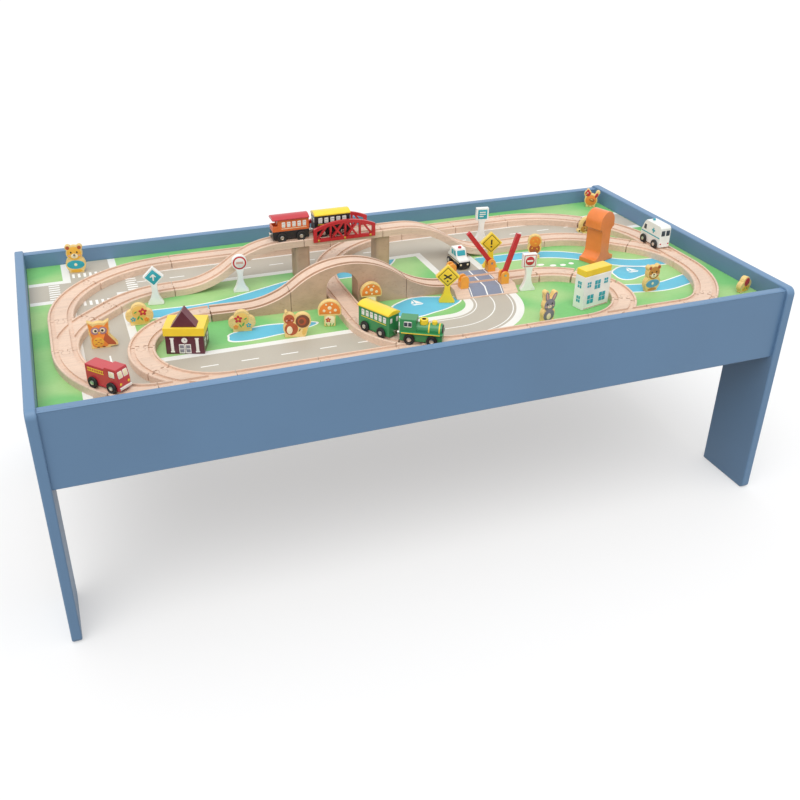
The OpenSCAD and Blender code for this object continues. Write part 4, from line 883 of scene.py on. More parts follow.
class TRAINTABLE_OT_wheels(TrainTableOperator, bpy.types.Operator):
    """Turns the wheel pairs: dished black wheels with a rounded tread, a plain axle and bright hubs."""

    bl_idname = "traintable.wheels"
    bl_label = "Wheels"

    def make(self, scene):
        for name in VEHICLES:
            for end in ("front", "rear"):
                self.pair(f"{name}_{end}_wheels", JOINTS[f"{name}_{end}_axle"])

    def pair(self, node, joint):
        """Two wheels on their axle, turned about the joint's axis to the node's own radius and reach."""
        points = np.concatenate([solid[0] for solid in solids(node)])
        middle = np.array(joint["pos_m"])
        axis = np.array(joint["axis"]) / np.linalg.norm(joint["axis"])
        reach = np.abs((points - middle) @ axis).max() / MM
        radius = np.ptp(points[:, 2]) / 2 / MM
        face, back = reach - 0.6, reach - 4.0
        half = [(1.5, back), (radius - 1.2, back), (radius - 0.3, back + 0.35), (radius, back + 1.0),
                (radius, face - 1.0), (radius - 0.35, face - 0.3), (radius - 1.0, face), (radius - 2.0, face),
                (radius - 2.5, face - 0.35), (radius - 2.9, face - 0.7), (3.6, face - 0.7), (3.2, face - 0.5)]
        hub = ((3.3, face - 1.2), (3.5, face - 0.1), (3.3, reach - 0.25), (2.7, reach - 0.05),
               (1.9, reach - 0.05), (1.6, reach - 0.3), (0.6, reach - 0.35))
        right = np.cross(Z, axis)
        wheels = Form(middle)
        whole = [(r, -h) for r, h in reversed(half)] + half
        wheels.lathe(whole, (0, 0, 0), (right, Z, axis), "black_abs", 40)
        for side in (-1, 1):
            wheels.lathe(hub, (0, 0, 0), (side * right, Z, side * axis), "nickel_plated_steel", 28)
        wheels.piece(f"{node}_turned", node, "black_plastic", (node,), 35)


def vehicle(name):
    """Frame of a vehicle at track or road level, from its axles and its lowest piece."""
    front, rear = (np.array(JOINTS[f"{name}_{end}_axle"]["pos_m"]) for end in ("front", "rear"))
    forward = (front - rear) / np.linalg.norm(front - rear)
    node, low = VEHICLES[name]
    middle = (front + rear) / 2
    middle[2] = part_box(node)[0].z - low * MM
    return middle, np.stack([forward, np.cross(Z, forward), Z])


def body_piece(name, node, colour, place, width, ink=None, inked=None):
    """Eased copy of a vehicle's node in gloss paint, and in ink where inked says so of a place.

    Magnets, which the fire truck doesn't have, are bright, and edges of bores and couplings stay sharp.
    """
    def small(middle, length):
        x, _, z = local(place, middle)
        return z < BORE_TOP and length < BORE_EDGE * MM or abs(x) > COUPLING_X and z < COUPLING_TOP

    def choose(middle, normal):
        x, y, z = local(place, middle)
        if node != "fire_truck_body" and abs(x) > MAGNET_X and abs(y) < MAGNET_Y and z < MAGNET_TOP:
            return 1
        return 2 if ink and inked(x, y, z) else 0

    materials = [f"{colour}_gloss_paint", "nickel_plated_steel"] + ([ink] if ink else [])
    eased_each(f"{node}_painted", node, f"{colour}_paint", materials, width, name, choose, small)


def panels(form, *rows):
    """Prints rounded panels, each a row of side, width, height, corner radius, place, relief and finish."""
    for side, w, h, r, (x, y, z), high, finish in rows:
        for basis, s in MIRRORED[side] if y else MIRRORED[side][:1]:
            form.pad(rounded(0, 0, w, h, r), high, finish, (x, s * y, z), basis)


def lamps(form, r, x, y, z, finish):
    """Two domed lamps on a vehicle's front, on either side of its middle."""
    for s in (-1, 1):
        form.lathe(((r, -0.3), (r, 0.3), (r - 0.5, 0.7), (0.5, 0.85)), (x, s * y, z), FRONT_SIDE, finish)


def leaning(run, rise, end=1):
    """Directions of a pane that leans in by a run as it rises: end is 1 at the front and -1 at the rear."""
    up = np.array([-end * run, 0, rise]) / math.hypot(run, rise)
    return np.stack([end * Y, up, np.cross(end * Y, up)])


class TRAINTABLE_OT_engine(TrainTableOperator, bpy.types.Operator):
    """Paints the engine: cab windows, boiler bands, smokebox door, funnel and dome."""

    bl_idname = "traintable.engine"
    bl_label = "Engine"

    def make(self, scene):
        place = vehicle("engine")
        edge = scene.traintable_toys.edge / MM * 0.7
        funnel_x, bore_r, bore_top, boiler_z = 3, 3.5, 35.3, 20
        body_piece("engine", "engine_body", "green", place, edge)
        # Inside the funnel's bore the fittings get dark ink: painted shade in the hole
        body_piece("engine", "engine_fittings", "yellow", place, edge, "dark_ink",
                   lambda x, y, z: math.hypot(x - funnel_x, y) < bore_r and z < bore_top)
        trim = Form(*place)
        panels(trim, ("side", 12, 9, 1.5, (-19.5, BODY_Y, 29), 0.2, "window_white_ink"),
               ("side", 5.2, 6.4, 0.8, (-16.4, BODY_Y, 29), 0.3, "glass_ink"),
               ("side", 5.2, 6.4, 0.8, (-22.6, BODY_Y, 29), 0.3, "glass_ink"),
               ("side", 58, 1.4, 0.6, (0, 14, 16.1), 0.2, "yellow_ink"),
               ("front", 6, 4.4, 1.2, (-7, 6.3, 32.6), 0.25, "glass_ink"),
               ("rear", 7, 7, 1.2, (-32, 5.355, 29), 0.25, "glass_ink"))
        band = ((9.2, -1.1), (9.7, -1.0), (9.7, 1.0), (9.2, 1.1))
        door = ((8.0, -0.5), (8.0, 0.25), (7.6, 0.5), (5.2, 0.8), (1.0, 1.0))
        knob = ((1.6, 0.4), (1.6, 1.5), (1.2, 1.9), (0.4, 2.0))
        fittings = ((band, 11.5, "yellow_ink", 48), (band, 27, "yellow_ink", 48),
                    (door, 32, "black_gloss_paint", 40), (knob, 31, "brass_stud", 24))
        for profile, x, finish, segments in fittings:
            trim.lathe(profile, (x, 0, boiler_z), FRONT_SIDE, finish, segments)
        trim.piece("engine_trim", "engine", "green_paint")


class TRAINTABLE_OT_coaches(TrainTableOperator, bpy.types.Operator):
    """Paints the three coaches, with rows of white windows, end doors and coloured roofs."""

    bl_idname = "traintable.coaches"
    bl_label = "Coaches"

    def make(self, scene):
        edge = scene.traintable_toys.edge / MM
        self.coach("green_coach", "green", "yellow", edge, 6)
        self.coach("orange_coach", "orange", "red", edge, 5, 46, 5.5, -21, "pink_ink", "cream_ink")
        self.coach("black_coach", "black", "yellow", edge, 5)

    def coach(self, name, colour, roof, edge, count, row_l=54, row_x=0, rear_x=-32, blind="grey_ink",
              stripe="yellow_ink"):
        """One coach with a number of windows in a row, over a stripe, and two windows on each end."""
        place = vehicle(name)
        body_piece(name, f"{name}_body", colour, place, edge * 0.7)
        body_piece(name, f"{name}_roof", roof, place, edge)
        if name == "orange_coach":
            body_piece(name, "orange_coach_chassis", "black", place, edge * 0.6)
        windows = Form(*place)
        pitch = row_l / count
        for i in range(count):
            x = (i - (count - 1) / 2) * pitch + row_x
            panels(windows, ("side", pitch * 0.66, 9.5, 0.9, (x, BODY_Y, 27.6), 0.18, "window_white_ink"),
                   ("side", pitch * 0.5, 0.8, 0.35, (x, BODY_Y, 29.2), 0.3, blind))
        panels(windows, ("side", row_l - 2, 1.0, 0.4, (row_x, BODY_Y, 20.6), 0.18, stripe),
               ("front", 4.6, 7.5, 0.8, (32, 6.4, 28), 0.2, "window_white_ink"),
               ("rear", 4.6, 7.5, 0.8, (rear_x, 6.4, 28), 0.2, "window_white_ink"))
        windows.piece(f"{name}_windows", name, "white_paint")


class TRAINTABLE_OT_road_vehicles(TrainTableOperator, bpy.types.Operator):
    """Paints the ambulance, the fire truck and the patrol car, with glass, stripes, lamps and beacons."""

    bl_idname = "traintable.road_vehicles"
    bl_label = "Ambulance, fire truck and patrol car"

    def make(self, scene):
        edge = scene.traintable_toys.edge / MM
        self.ambulance(edge)
        self.fire_truck(edge)
        self.patrol_car(edge)

    def ambulance(self, edge):
        """White van with a teal beacon, cross and stripe."""
        place = vehicle("ambulance")
        beacon_z = 42.2
        body_piece("ambulance", "ambulance_body", "white", place, edge, "teal_ink",
                   lambda x, y, z: z > beacon_z)
        trim = Form(*place)
        door = np.array([[-3.5, -4.5], [4.5, -4.5], [2.6, 4.5], [-3.5, 4.5]])
        for basis, s in SIDES:
            for turn, high in ((0, 0.18), (90, 0.234)):
                trim.pad(bar(0, 0, 9.5, 3.1, turn), high, "teal_ink", (-8, s * BODY_Y, 29), basis)
            trim.pad((door * (-s, 1))[::-s], 0.2, "glass_ink", (17.5, s * BODY_Y, 29), basis)
        trim.pad(rounded(0, 0, 17, 13, 1.5), 0.2, "glass_ink", (25.5, 0, 29), leaning(9, 18))
        lamps(trim, 2.0, 30, 7.4, 13, "cream_ink")
        panels(trim, ("side", 58, 2.0, 0.8, (0, BODY_Y, 19.5), 0.16, "teal_ink"),
               ("rear", 7.6, 10, 1.0, (-30, 5.032, 29), 0.2, "glass_ink"),
               ("rear", 3.4, 2.4, 0.8, (-30, 8.14, 9), 0.2, "red_ink"))
        trim.piece("ambulance_trim", "ambulance", "white_paint")

    def fire_truck(self, edge):
        """Red truck with a white bumper, white window frames, a ladder along each side and a rear shutter."""
        place = vehicle("fire_truck")
        bumper_x, rungs = 30.2, -24 + 3.25 * np.arange(9)
        body_piece("fire_truck", "fire_truck_body", "red", place, edge, "window_white_ink",
                   lambda x, y, z: x > bumper_x)
        trim = Form(*place)
        panels(trim, ("side", 10, 9, 1.2, (18.2, BODY_Y, 25.5), 0.18, "window_white_ink"),
               ("side", 8, 7, 0.8, (18.2, BODY_Y, 25.5), 0.28, "cream_ink"),
               *[("side", 30, 1.1, 0.5, (-11, BODY_Y, z), 0.2, "yellow_ink") for z in (22.2, 26.6)],
               *[("side", 1.0, 4.6, 0.4, (x, BODY_Y, 24.4), 0.16, "yellow_ink") for x in rungs],
               ("rear", 3.4, 2.4, 0.8, (-30, 7.6, 10), 0.2, "yellow_ink"),
               ("rear", 14, 14, 1.0, (-30, 0, 21), 0.16, "yellow_ink"),
               ("rear", 12.4, 12.4, 0.8, (-30, 0, 21), 0.26, "red_ink"))
        for y in (-4.9, 4.9):
            trim.pad(rounded(0, 0, 8.4, 10, 1.2), 0.18, "window_white_ink", (28, y, 25.5), leaning(4, 17))
            trim.pad(rounded(0, 0, 6.8, 8.4, 0.8), 0.28, "cream_ink", (28, y, 25.5), leaning(4, 17))
        lamps(trim, 2.0, 30, 7.6, 12.5, "yellow_ink")
        trim.piece("fire_truck_trim", "fire_truck", "red_paint")

    def patrol_car(self, edge):
        """Black car with a white cabin, a red beacon, teal glass and a pale stripe."""
        place = vehicle("patrol_car")
        beacon_z, half_w = 34.1, 10
        body_piece("patrol_car", "patrol_car_body", "black", place, edge * 0.8)
        body_piece("patrol_car", "patrol_car_cabin", "white", place, edge * 0.8, "red_ink",
                   lambda x, y, z: z > beacon_z)
        trim = Form(*place)
        front_pane = np.array([[-4.0, -4.4], [6.2, -4.4], [2.6, 4.4], [-4.0, 4.4]])
        for basis, s in SIDES:
            trim.pad((front_pane * (-s, 1))[::-s], 0.2, "teal_ink", (4.4, s * half_w, 26.4), basis)
            trim.pad(bar(0, 0, 8, 8.8, 0), 0.2, "teal_ink", (-5.6, s * half_w, 26.4), basis)
        for x, z, pane in ((9.5, 27, leaning(7, 14)), (-17, 27.5, leaning(8, 13, -1))):
            trim.pad(rounded(0, 0, 15.5, 9.5, 1.5), 0.2, "teal_ink", (x, 0, z), pane)
        lamps(trim, 1.9, 25, 6.6, 10.5, "cream_ink")
        panels(trim, ("side", 46, 1.6, 0.6, (0, half_w, 13), 0.18, "cream_ink"),
               ("rear", 4, 2.4, 0.8, (-25, 6.6, 10.5), 0.2, "red_ink"))
        trim.piece("patrol_car_trim", "patrol_car", "white_paint")


# Buildings

# Directions on a building's walls, in its own frame of right, up and out of the front
BACK_WALL = np.stack([-X, Y, -Z])
RIGHT_WALL, LEFT_WALL = np.stack([-Z, Y, X]), np.stack([Z, Y, -X])
FASCIA_H = 13.2


class TRAINTABLE_OT_buildings(TrainTableOperator, bpy.types.Operator):
    """Paints the station, the clinic and the loading tower, with doors, clock, pillars and windows."""

    bl_idname = "traintable.buildings"
    bl_label = "Station, clinic and tower"

    def make(self, scene):
        edge = scene.traintable_toys.edge / MM
        self.station(edge)
        self.clinic(edge)
        eased("loading_tower_painted", "loading_tower", solids("loading_tower")[0], "orange_paint",
              ["tower_orange_gloss_paint"], edge * 1.2, rings=3)

    def station(self, edge):
        """Maroon walls with white pillars, a double door, a clock and windows, under a yellow fascia."""
        walls = solids("station_walls")[0]
        origin, axes, wide, deep = flat_frame(walls)
        eased("station_walls_painted", "station_walls", walls, "maroon_paint", ["maroon_gloss_paint"], edge)
        fascia_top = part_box("station_roof")[0].z + FASCIA_H * MM

        # Above the fascia, faces that look front or back keep the maroon, and the slopes and other faces get
        # a lighter maroon: a painted highlight
        def roof_part(middle, normal):
            if middle[2] < fascia_top:
                return 0
            return 1 if abs(normal @ axes[2]) > 0.7 else 2

        roof_paints = ["yellow_gloss_paint", "maroon_gloss_paint", "plum_gloss_paint"]
        eased_each("station_roof_painted", "station_roof", "yellow_paint", roof_paints, edge * 0.8,
                   pick=roof_part)
        prints = Form(origin, axes)
        white, dark = "window_white_ink", "dark_ink"
        pillar_x, door_x, clock_y = 18.5, 4.6, 22.4
        for s in (-1, 1):
            prints.pad(rounded(s * pillar_x, 14.5, 4.4, 20, 0.6), 0.18, white)
            for y in (4.0, 25.4):
                prints.pad(rounded(s * pillar_x, y, 6.2, 2.2, 0.6), 0.26, white)
            prints.pad(rounded(s * door_x, 8.8, 8.4, 15, 0.6), 0.18, white)
            for y in (5.6, 12.2):
                prints.pad(rounded(s * door_x, y, 6.2, 5.4, 0.5), 0.28, "grey_ink")
            prints.pad(ellipse(s * 1.6, 8.6, 0.55, count=14), 0.36, dark)
        prints.pad(ellipse(0, clock_y, 4.4), 0.2, white)
        for turn, reach in ((90, 2.6), (20, 2.0)):
            prints.pad(turned(bar(reach / 2, 0, reach, 0.6, 0), 0, clock_y, turn), 0.32, dark)

        def window(u, spot, wall):
            prints.pad(rounded(u, 15, 9, 12, 0.8), 0.18, white, spot, wall)
            prints.pad(rounded(u, 15, 0.9, 11, 0.3), 0.28, dark, spot, wall)

        for x, wall in ((wide / 2, RIGHT_WALL), (-wide / 2, LEFT_WALL)):
            spot = (x, 0, -deep / 2)
            for u in (-10, 10):
                window(u, spot, wall)
                prints.pad(rounded(u, 16, 8, 0.9, 0.3), 0.3, dark, spot, wall)
        for u in (-16, 0, 16):
            window(u, (0, 0, -deep), BACK_WALL)
        prints.piece("station_print", ROOT, "white_paint")

    def clinic(self, edge):
        """White walls with teal windows of four panes and a pink plinth line, under a yellow roof."""
        walls = solids("clinic_walls")[0]
        origin, axes, wide, deep = flat_frame(walls)
        eased("clinic_walls_painted", "clinic_walls", walls, "white_paint", ["white_gloss_paint"], edge)
        eased("clinic_roof_painted", "clinic_roof", solids("clinic_roof")[0], "yellow_paint",
              ["yellow_gloss_paint"], edge * 1.3, rings=3)
        prints = Form(origin, axes)

        def window(x, y, w, h, spot, wall, glazing_bar=0.9):
            for i, j in ((-1, -1), (-1, 1), (1, -1), (1, 1)):
                pane = rounded(x + i * w / 4, y + j * h / 4, w / 2 - glazing_bar, h / 2 - glazing_bar, 0.4)
                prints.pad(pane, 0.18, "teal_ink", spot, wall)

        for spot, wall in (((0, 0, 0), TOP_SIDE), ((0, 0, -deep), BACK_WALL)):
            for s in (-1, 1):
                window(s * 18.5, 43, 9, 10, spot, wall)
                window(s * 13, 17, 14.5, 16, spot, wall)
            window(0, 40, 13, 16, spot, wall)
            prints.pad(rounded(0, 2.2, wide - 5, 1.3, 0.5), 0.16, "pink_ink", spot, wall)
        for x, wall in ((wide / 2, RIGHT_WALL), (-wide / 2, LEFT_WALL)):
            for y in (17, 42):
                window(0, y, 9, 12, (x, 0, -deep / 2), wall)
        prints.piece("clinic_windows", ROOT, "white_paint")


# Signs and cut-out figures

# Height of the lowest layer of ink, the step to each further one, and the width of its soft edge
INK_H, INK_STEP, INK_EDGE = 0.12, 0.016, 0.08


def print_on(form, place, thick, marks, scale=1.0, shift=0.0):
    """Prints marks of ink, level and outline on both faces of an upright flat piece, in order of level."""
    origin, (right, up, out) = place
    for side, spot in ((1, origin), (-1, origin - out * thick * MM)):
        for rank, (ink, _, outline) in enumerate(sorted(marks, key=lambda mark: mark[1])):
            drawn = ((np.asarray(outline) - (shift, 0)) * scale * (side, 1))[::side]
            form.pad(drawn, INK_H + INK_STEP * rank, f"{ink}_ink", spot / MM, (side * right, up, side * out),
                     INK_EDGE)


def sign_marks(kind):
    """Marks on a sign's panel, in millimetres from its foot: plain geometric traffic marks."""
    y = {"way": 49.0, "ring": 53.0, "no_entry": 54.0, "notice": 54.0, "cross": 46.2, "care": 46.2}[kind]
    rim = [("dark", 0, bar(0, y, 23, 23, 45)), ("yellow", 1, bar(0, y, 21, 21, 45))]
    return {
        "way": [("teal", 0, bar(0, y, 19, 19, 45)), ("window_white", 1, bar(0, y - 1.5, 9, 2.4, 90)),
                ("window_white", 1, bar(-2.1, y + 2.4, 6.4, 2.2, 45)),
                ("window_white", 2, bar(2.1, y + 2.4, 6.4, 2.2, 135))],
        "ring": [("red", 0, ellipse(0, y, 11.4, count=40)), ("window_white", 1, ellipse(0, y, 8.8, count=40)),
                 ("pink", 2, bar(0, y, 12, 4, 0))],
        "no_entry": [("red", 0, rounded(0, y, 21, 21, 1.2)),
                     ("window_white", 1, rounded(0, y, 18.6, 18.6, 0.8)),
                     ("red", 2, ellipse(0, y, 7.8, count=36)),
                     ("window_white", 3, rounded(0, y, 10.5, 3.0, 0.4))],
        "notice": [("teal", 0, rounded(0, y, 18, 18, 1.2)),
                   ("window_white", 1, rounded(0, y + 4, 12, 2, 0.5)),
                   ("window_white", 1, rounded(0, y, 12, 2, 0.5)),
                   ("window_white", 1, rounded(-2, y - 4, 8, 2, 0.5))],
        "cross": rim + [("dark", 2, bar(0, y, 15, 2.6, 32)), ("dark", 3, bar(0, y, 15, 2.6, 148)),
                        ("dark", 2, ellipse(0, y - 7.2, 1.5, count=18))],
        "care": rim + [("dark", 2, bar(0, y + 2.2, 9.5, 2.8, 90)),
                       ("dark", 2, ellipse(0, y - 6.2, 1.8, count=18))],
    }[kind]


class TRAINTABLE_OT_signs(TrainTableOperator, bpy.types.Operator):
    """Paints the standing signs and prints plain traffic marks on their panels."""

    bl_idname = "traintable.signs"
    bl_label = "Signs"

    def make(self, scene):
        edge = scene.traintable_toys.edge / MM
        sets = {"white": ("way", "ring", "no_entry", "notice"), "yellow": ("cross", "care")}
        for colour, kinds in sets.items():
            node, slot = f"{colour}_signs", f"{colour}_paint"
            prints = Form()
            for kind, solid in zip(kinds, solids(node)):
                *place, _, thick = flat_frame(solid)
                eased(f"{kind}_sign", node, solid, slot, [f"{colour}_gloss_paint"], edge)
                print_on(prints, place, thick, sign_marks(kind))
            prints.piece(f"{node}_print", ROOT, slot)


def pair(ink, level, x, y, rx, ry=None):
    """Two equal ovals on either side of a figure's middle."""
    return [(ink, level, ellipse(s * x, y, rx, ry)) for s in (-1, 1)]


def bear_marks(coat_ink, shirt):
    """Bear: a round face with a pale muzzle, inner ears and a shirt; all in parts of its height."""
    return [(coat_ink, 0, ellipse(0, 0.70, 0.235)), (shirt, 0, ellipse(0, 0.30, 0.29, 0.155)),
            (coat_ink, 0, ellipse(0, 0.08, 0.19, 0.06)), ("cream", 1, ellipse(0, 0.61, 0.12, 0.085)),
            ("dark", 2, ellipse(0, 0.645, 0.04, 0.028)), ("dark", 2, bar(0, 0.585, 0.07, 0.014, 0)),
            ("cream", 1, ellipse(0, 0.30, 0.05, 0.05))] \
        + pair("rust", 0, 0.19, 0.905, 0.062) + pair("dark", 1, 0.1, 0.74, 0.026, 0.034) \
        + pair("pink", 1, 0.17, 0.63, 0.036, 0.026)


def owl_marks():
    """Owl: a mauve mask round large eyes, a beak, a breast with feathers, a folded wing and feet."""
    marks = [("orange", 0, ellipse(0, 0.56, 0.29, 0.3)), ("orange", 0, rounded(0, 0.26, 0.54, 0.44, 0.14)),
             ("orange", 0, np.array([[-0.3, 0.62], [-0.18, 0.8], [-0.325, 0.95]])),
             ("orange", 0, np.array([[0.3, 0.62], [0.325, 0.95], [0.18, 0.8]])),
             ("rust", 1, np.array([[0.2, 0.56], [0.1, 0.3], [0.24, 0.12], [0.5, 0.085], [0.485, 0.16]])),
             ("golden", 1, ellipse(-0.06, 0.24, 0.18, 0.17)),
             ("golden", 4, np.array([[-0.05, 0.6], [0, 0.5], [0.05, 0.6]]))]
    marks += pair("mauve", 1, 0.125, 0.645, 0.135) + pair("cream", 2, 0.12, 0.65, 0.08)
    marks += pair("dark", 3, 0.11, 0.65, 0.045) + pair("brown", 1, 0.09, 0.05, 0.05, 0.022)
    feathers = ((-0.13, 0.31), (0.01, 0.31), (-0.06, 0.23), (-0.14, 0.17), (0.02, 0.17))
    return marks + [("rust", 2, oval(x, y, 0.08, 0.03, 0)) for x, y in feathers]


def squirrel_marks():
    """Squirrel: a red-brown head and body with a pale belly, and a dark tail with a light curl."""
    return [("rust", 0, ellipse(-0.16, 0.70, 0.18)), ("rust", 0, ellipse(-0.10, 0.33, 0.23, 0.24)),
            ("cream", 1, ellipse(-0.16, 0.29, 0.10, 0.15)), ("brown", 0, ellipse(0.3, 0.60, 0.245)),
            ("rust", 1, ellipse(0.28, 0.60, 0.15)), ("brown", 2, ellipse(0.26, 0.60, 0.09)),
            ("tan", 0, oval(0.35, 0.22, 0.3, 0.14, 72)), ("dark", 1, bar(-0.23, 0.73, 0.06, 0.016, 10)),
            ("dark", 1, bar(-0.09, 0.73, 0.06, 0.016, -10)), ("dark", 1, ellipse(-0.17, 0.665, 0.024)),
            ("pink", 1, ellipse(-0.25, 0.65, 0.03)), ("pink", 1, ellipse(-0.07, 0.65, 0.03)),
            ("rust", 1, oval(-0.02, 0.36, 0.15, 0.07, -35))]


def rabbit_marks():
    """Rabbit: a grey head and body, long ears with pale insides, a muzzle and a belly."""
    return [("grey", 0, oval(-0.11, 0.79, 0.34, 0.135, 101)), ("grey", 0, oval(0.145, 0.755, 0.3, 0.135, 63)),
            ("pink", 1, oval(-0.115, 0.81, 0.22, 0.06, 101)), ("pink", 1, oval(0.15, 0.765, 0.19, 0.06, 63)),
            ("grey", 0, ellipse(0, 0.53, 0.195)), ("grey", 0, ellipse(0, 0.21, 0.195, 0.185)),
            ("cream", 1, ellipse(0, 0.17, 0.08, 0.1)), ("cream", 1, ellipse(0, 0.475, 0.075, 0.05)),
            ("dark", 2, ellipse(0, 0.50, 0.022, 0.016))] + pair("dark", 1, 0.085, 0.565, 0.022, 0.03) \
        + pair("pink", 1, 0.13, 0.49, 0.026, 0.02)


def hedgehog_marks():
    """Hedgehog: a dark back with rows of spines, a pale face and a dark nose."""
    marks = [("brown", 0, ellipse(0.06, 0.52, 0.42, 0.40)), ("bronze", 1, ellipse(-0.26, 0.30, 0.2, 0.18)),
             ("dark", 2, ellipse(-0.24, 0.36, 0.03)), ("dark", 0, ellipse(-0.53, 0.21, 0.05)),
             ("pink", 2, ellipse(-0.18, 0.26, 0.035))]
    for ring, count in ((0.16, 6), (0.3, 9)):
        for angle in np.linspace(-60, 200, count):
            x, y = 0.08 + ring * math.cos(math.radians(angle)), 0.5 + ring * math.sin(math.radians(angle))
            marks.append(("tan", 1, bar(x, y, 0.09, 0.022, angle)))
    return marks


def hen_marks():
    """Hen: an orange body with a wing, a red head and tail, a comb and a small beak."""
    return [("orange", 0, ellipse(0, 0.38, 0.3, 0.3)), ("red", 0, oval(0.28, 0.67, 0.3, 0.15, 65)),
            ("red", 1, ellipse(-0.2, 0.76, 0.16)), ("red", 0, ellipse(-0.2, 0.93, 0.065)),
            ("rust", 1, oval(0.06, 0.40, 0.3, 0.18, -15)), ("tan", 2, oval(0.04, 0.42, 0.16, 0.07, -15)),
            ("cream", 2, ellipse(-0.22, 0.79, 0.045)), ("dark", 3, ellipse(-0.22, 0.79, 0.024)),
            ("golden", 2, ellipse(-0.3, 0.71, 0.04)), ("brown", 1, bar(-0.08, 0.055, 0.08, 0.03, 0)),
            ("brown", 1, bar(0.1, 0.055, 0.08, 0.03, 0))]


def flower(x, y, size, ink):
    """Five petals round a golden middle."""
    petal = ellipse(size * 0.6, 0, size / 2, size * 0.35)
    return [(ink, 1, turned(petal, x, y, a)) for a in np.linspace(90, 378, 5)] \
        + [("golden", 2, ellipse(x, y, size * 0.3))]


def bush_marks(side):
    """Bush: a pale leafy face with a red flower, a small blue one and leaves."""
    return [("tan", 0, ellipse(0, 0.60, 0.3, 0.3)), ("tan", 0, ellipse(0, 0.24, 0.42, 0.18))] \
        + flower(side * 0.16, 0.62, 0.17, "red") + flower(-side * 0.28, 0.3, 0.11, "teal") \
        + flower(side * 0.28, 0.25, 0.1, "orange") \
        + [("leaf", 1, oval(-side * 0.05, 0.36, 0.2, 0.08, 60)),
           ("leaf", 1, oval(side * 0.08, 0.3, 0.18, 0.07, 120)),
           ("leaf", 1, oval(-side * 0.16, 0.62, 0.16, 0.06, 30))]


def berry_marks():
    """Berry bush: a red dome with dark seeds over a golden foot with leaves."""
    seeds = ((-0.12, 0.62), (0.06, 0.72), (0.2, 0.58), (0.04, 0.5), (-0.06, 0.78), (0.16, 0.8))
    return [("golden", 0, ellipse(0, 0.24, 0.42, 0.18)), ("red", 0, ellipse(0.04, 0.64, 0.28, 0.27))] \
        + [("dark", 1, oval(x, y, 0.07, 0.045, 70)) for x, y in seeds] \
        + [("leaf", 1, oval(-0.16, 0.24, 0.2, 0.08, 30)), ("leaf", 1, oval(0.12, 0.22, 0.2, 0.08, 150))]


def mushroom_marks():
    """Mushroom: an orange cap with pale dots on a cream stem, with grass and a flower at its foot."""
    turn = np.radians(np.linspace(-14, 194, 34))
    cap = np.stack([0.375 * np.cos(turn), 0.575 + 0.375 * np.sin(turn)], -1)
    spots = ((0, 0.72, 0.07), (-0.2, 0.62, 0.05), (0.2, 0.63, 0.055), (0.08, 0.86, 0.035),
             (-0.12, 0.85, 0.035), (0.02, 0.55, 0.035))
    blades = [("leaf", 1, oval(x, 0.08, 0.13, 0.035, a)) for x, a in ((-0.12, 110), (0.02, 85), (0.12, 65))]
    return [("orange", 0, cap), ("cream", 0, rounded(0, 0.23, 0.33, 0.36, 0.08))] \
        + [("cream", 1, ellipse(*spot)) for spot in spots] + blades + flower(-0.06, 0.26, 0.09, "red")


def tree_marks():
    """Tree: two round crowns in autumn colours on a dark trunk."""
    leaves = ((-0.08, 0.76, 40), (0.08, 0.8, 120), (0.02, 0.64, 0), (-0.1, 0.44, 60), (0.1, 0.42, 130))
    return [("brown", 0, rounded(0, 0.10, 0.13, 0.14, 0.03)), ("rust", 0, ellipse(0, 0.42, 0.22)),
            ("orange", 1, ellipse(0, 0.72, 0.225)), ("brown", 1, bar(0, 0.27, 0.16, 0.05, 90))] \
        + [("golden", 2, oval(x, y, 0.09, 0.045, a)) for x, y, a in leaves]


class TRAINTABLE_OT_figures(TrainTableOperator, bpy.types.Operator):
    """Rounds the edges of the wooden cut-outs and prints animals and plants on both faces."""

    bl_idname = "traintable.figures"
    bl_label = "Cut-out figures"

    def make(self, scene):
        edge = scene.traintable_toys.edge / MM
        bear, blue_bear = bear_marks("golden", "teal"), bear_marks("bronze", "sky_blue")
        animals = (("bear", bear, 0), ("owl", owl_marks(), 0.10), ("squirrel", squirrel_marks(), 0.11),
                   ("rabbit", rabbit_marks(), 0.025), ("blue_bear", blue_bear, 0),
                   ("hedgehog", hedgehog_marks(), -0.05), ("hen", hen_marks(), 0.035))
        plants = (("left_bush", bush_marks(1), 0), ("middle_bush", bush_marks(-1), 0),
                  ("mushroom", mushroom_marks(), 0), ("back_mushroom", mushroom_marks(), 0),
                  ("tree", tree_marks(), 0), ("right_bush", berry_marks(), 0))
        for node, figures in (("animal_figures", animals), ("plant_figures", plants)):
            prints = Form()
            for (name, marks, shift), solid in zip(figures, solids(node)):
                *place, _, thick = flat_frame(solid)
                eased(f"{name}_cutout", node, solid, "figure_wood", ["sanded_plywood"], edge)
                print_on(prints, place, thick, marks, np.ptp(solid[0][:, 2]) / MM, shift)
            prints.piece(f"{node}_print", ROOT, "figure_wood")


# Stage

# Half the floor's side in metres, the share of its own light, and the grey that lights the table from below
FLOOR_REACH, FLOOR_GLOW, FLOOR_BOUNCE = 9.0, 0.42, (0.30, 0.30, 0.30, 1)


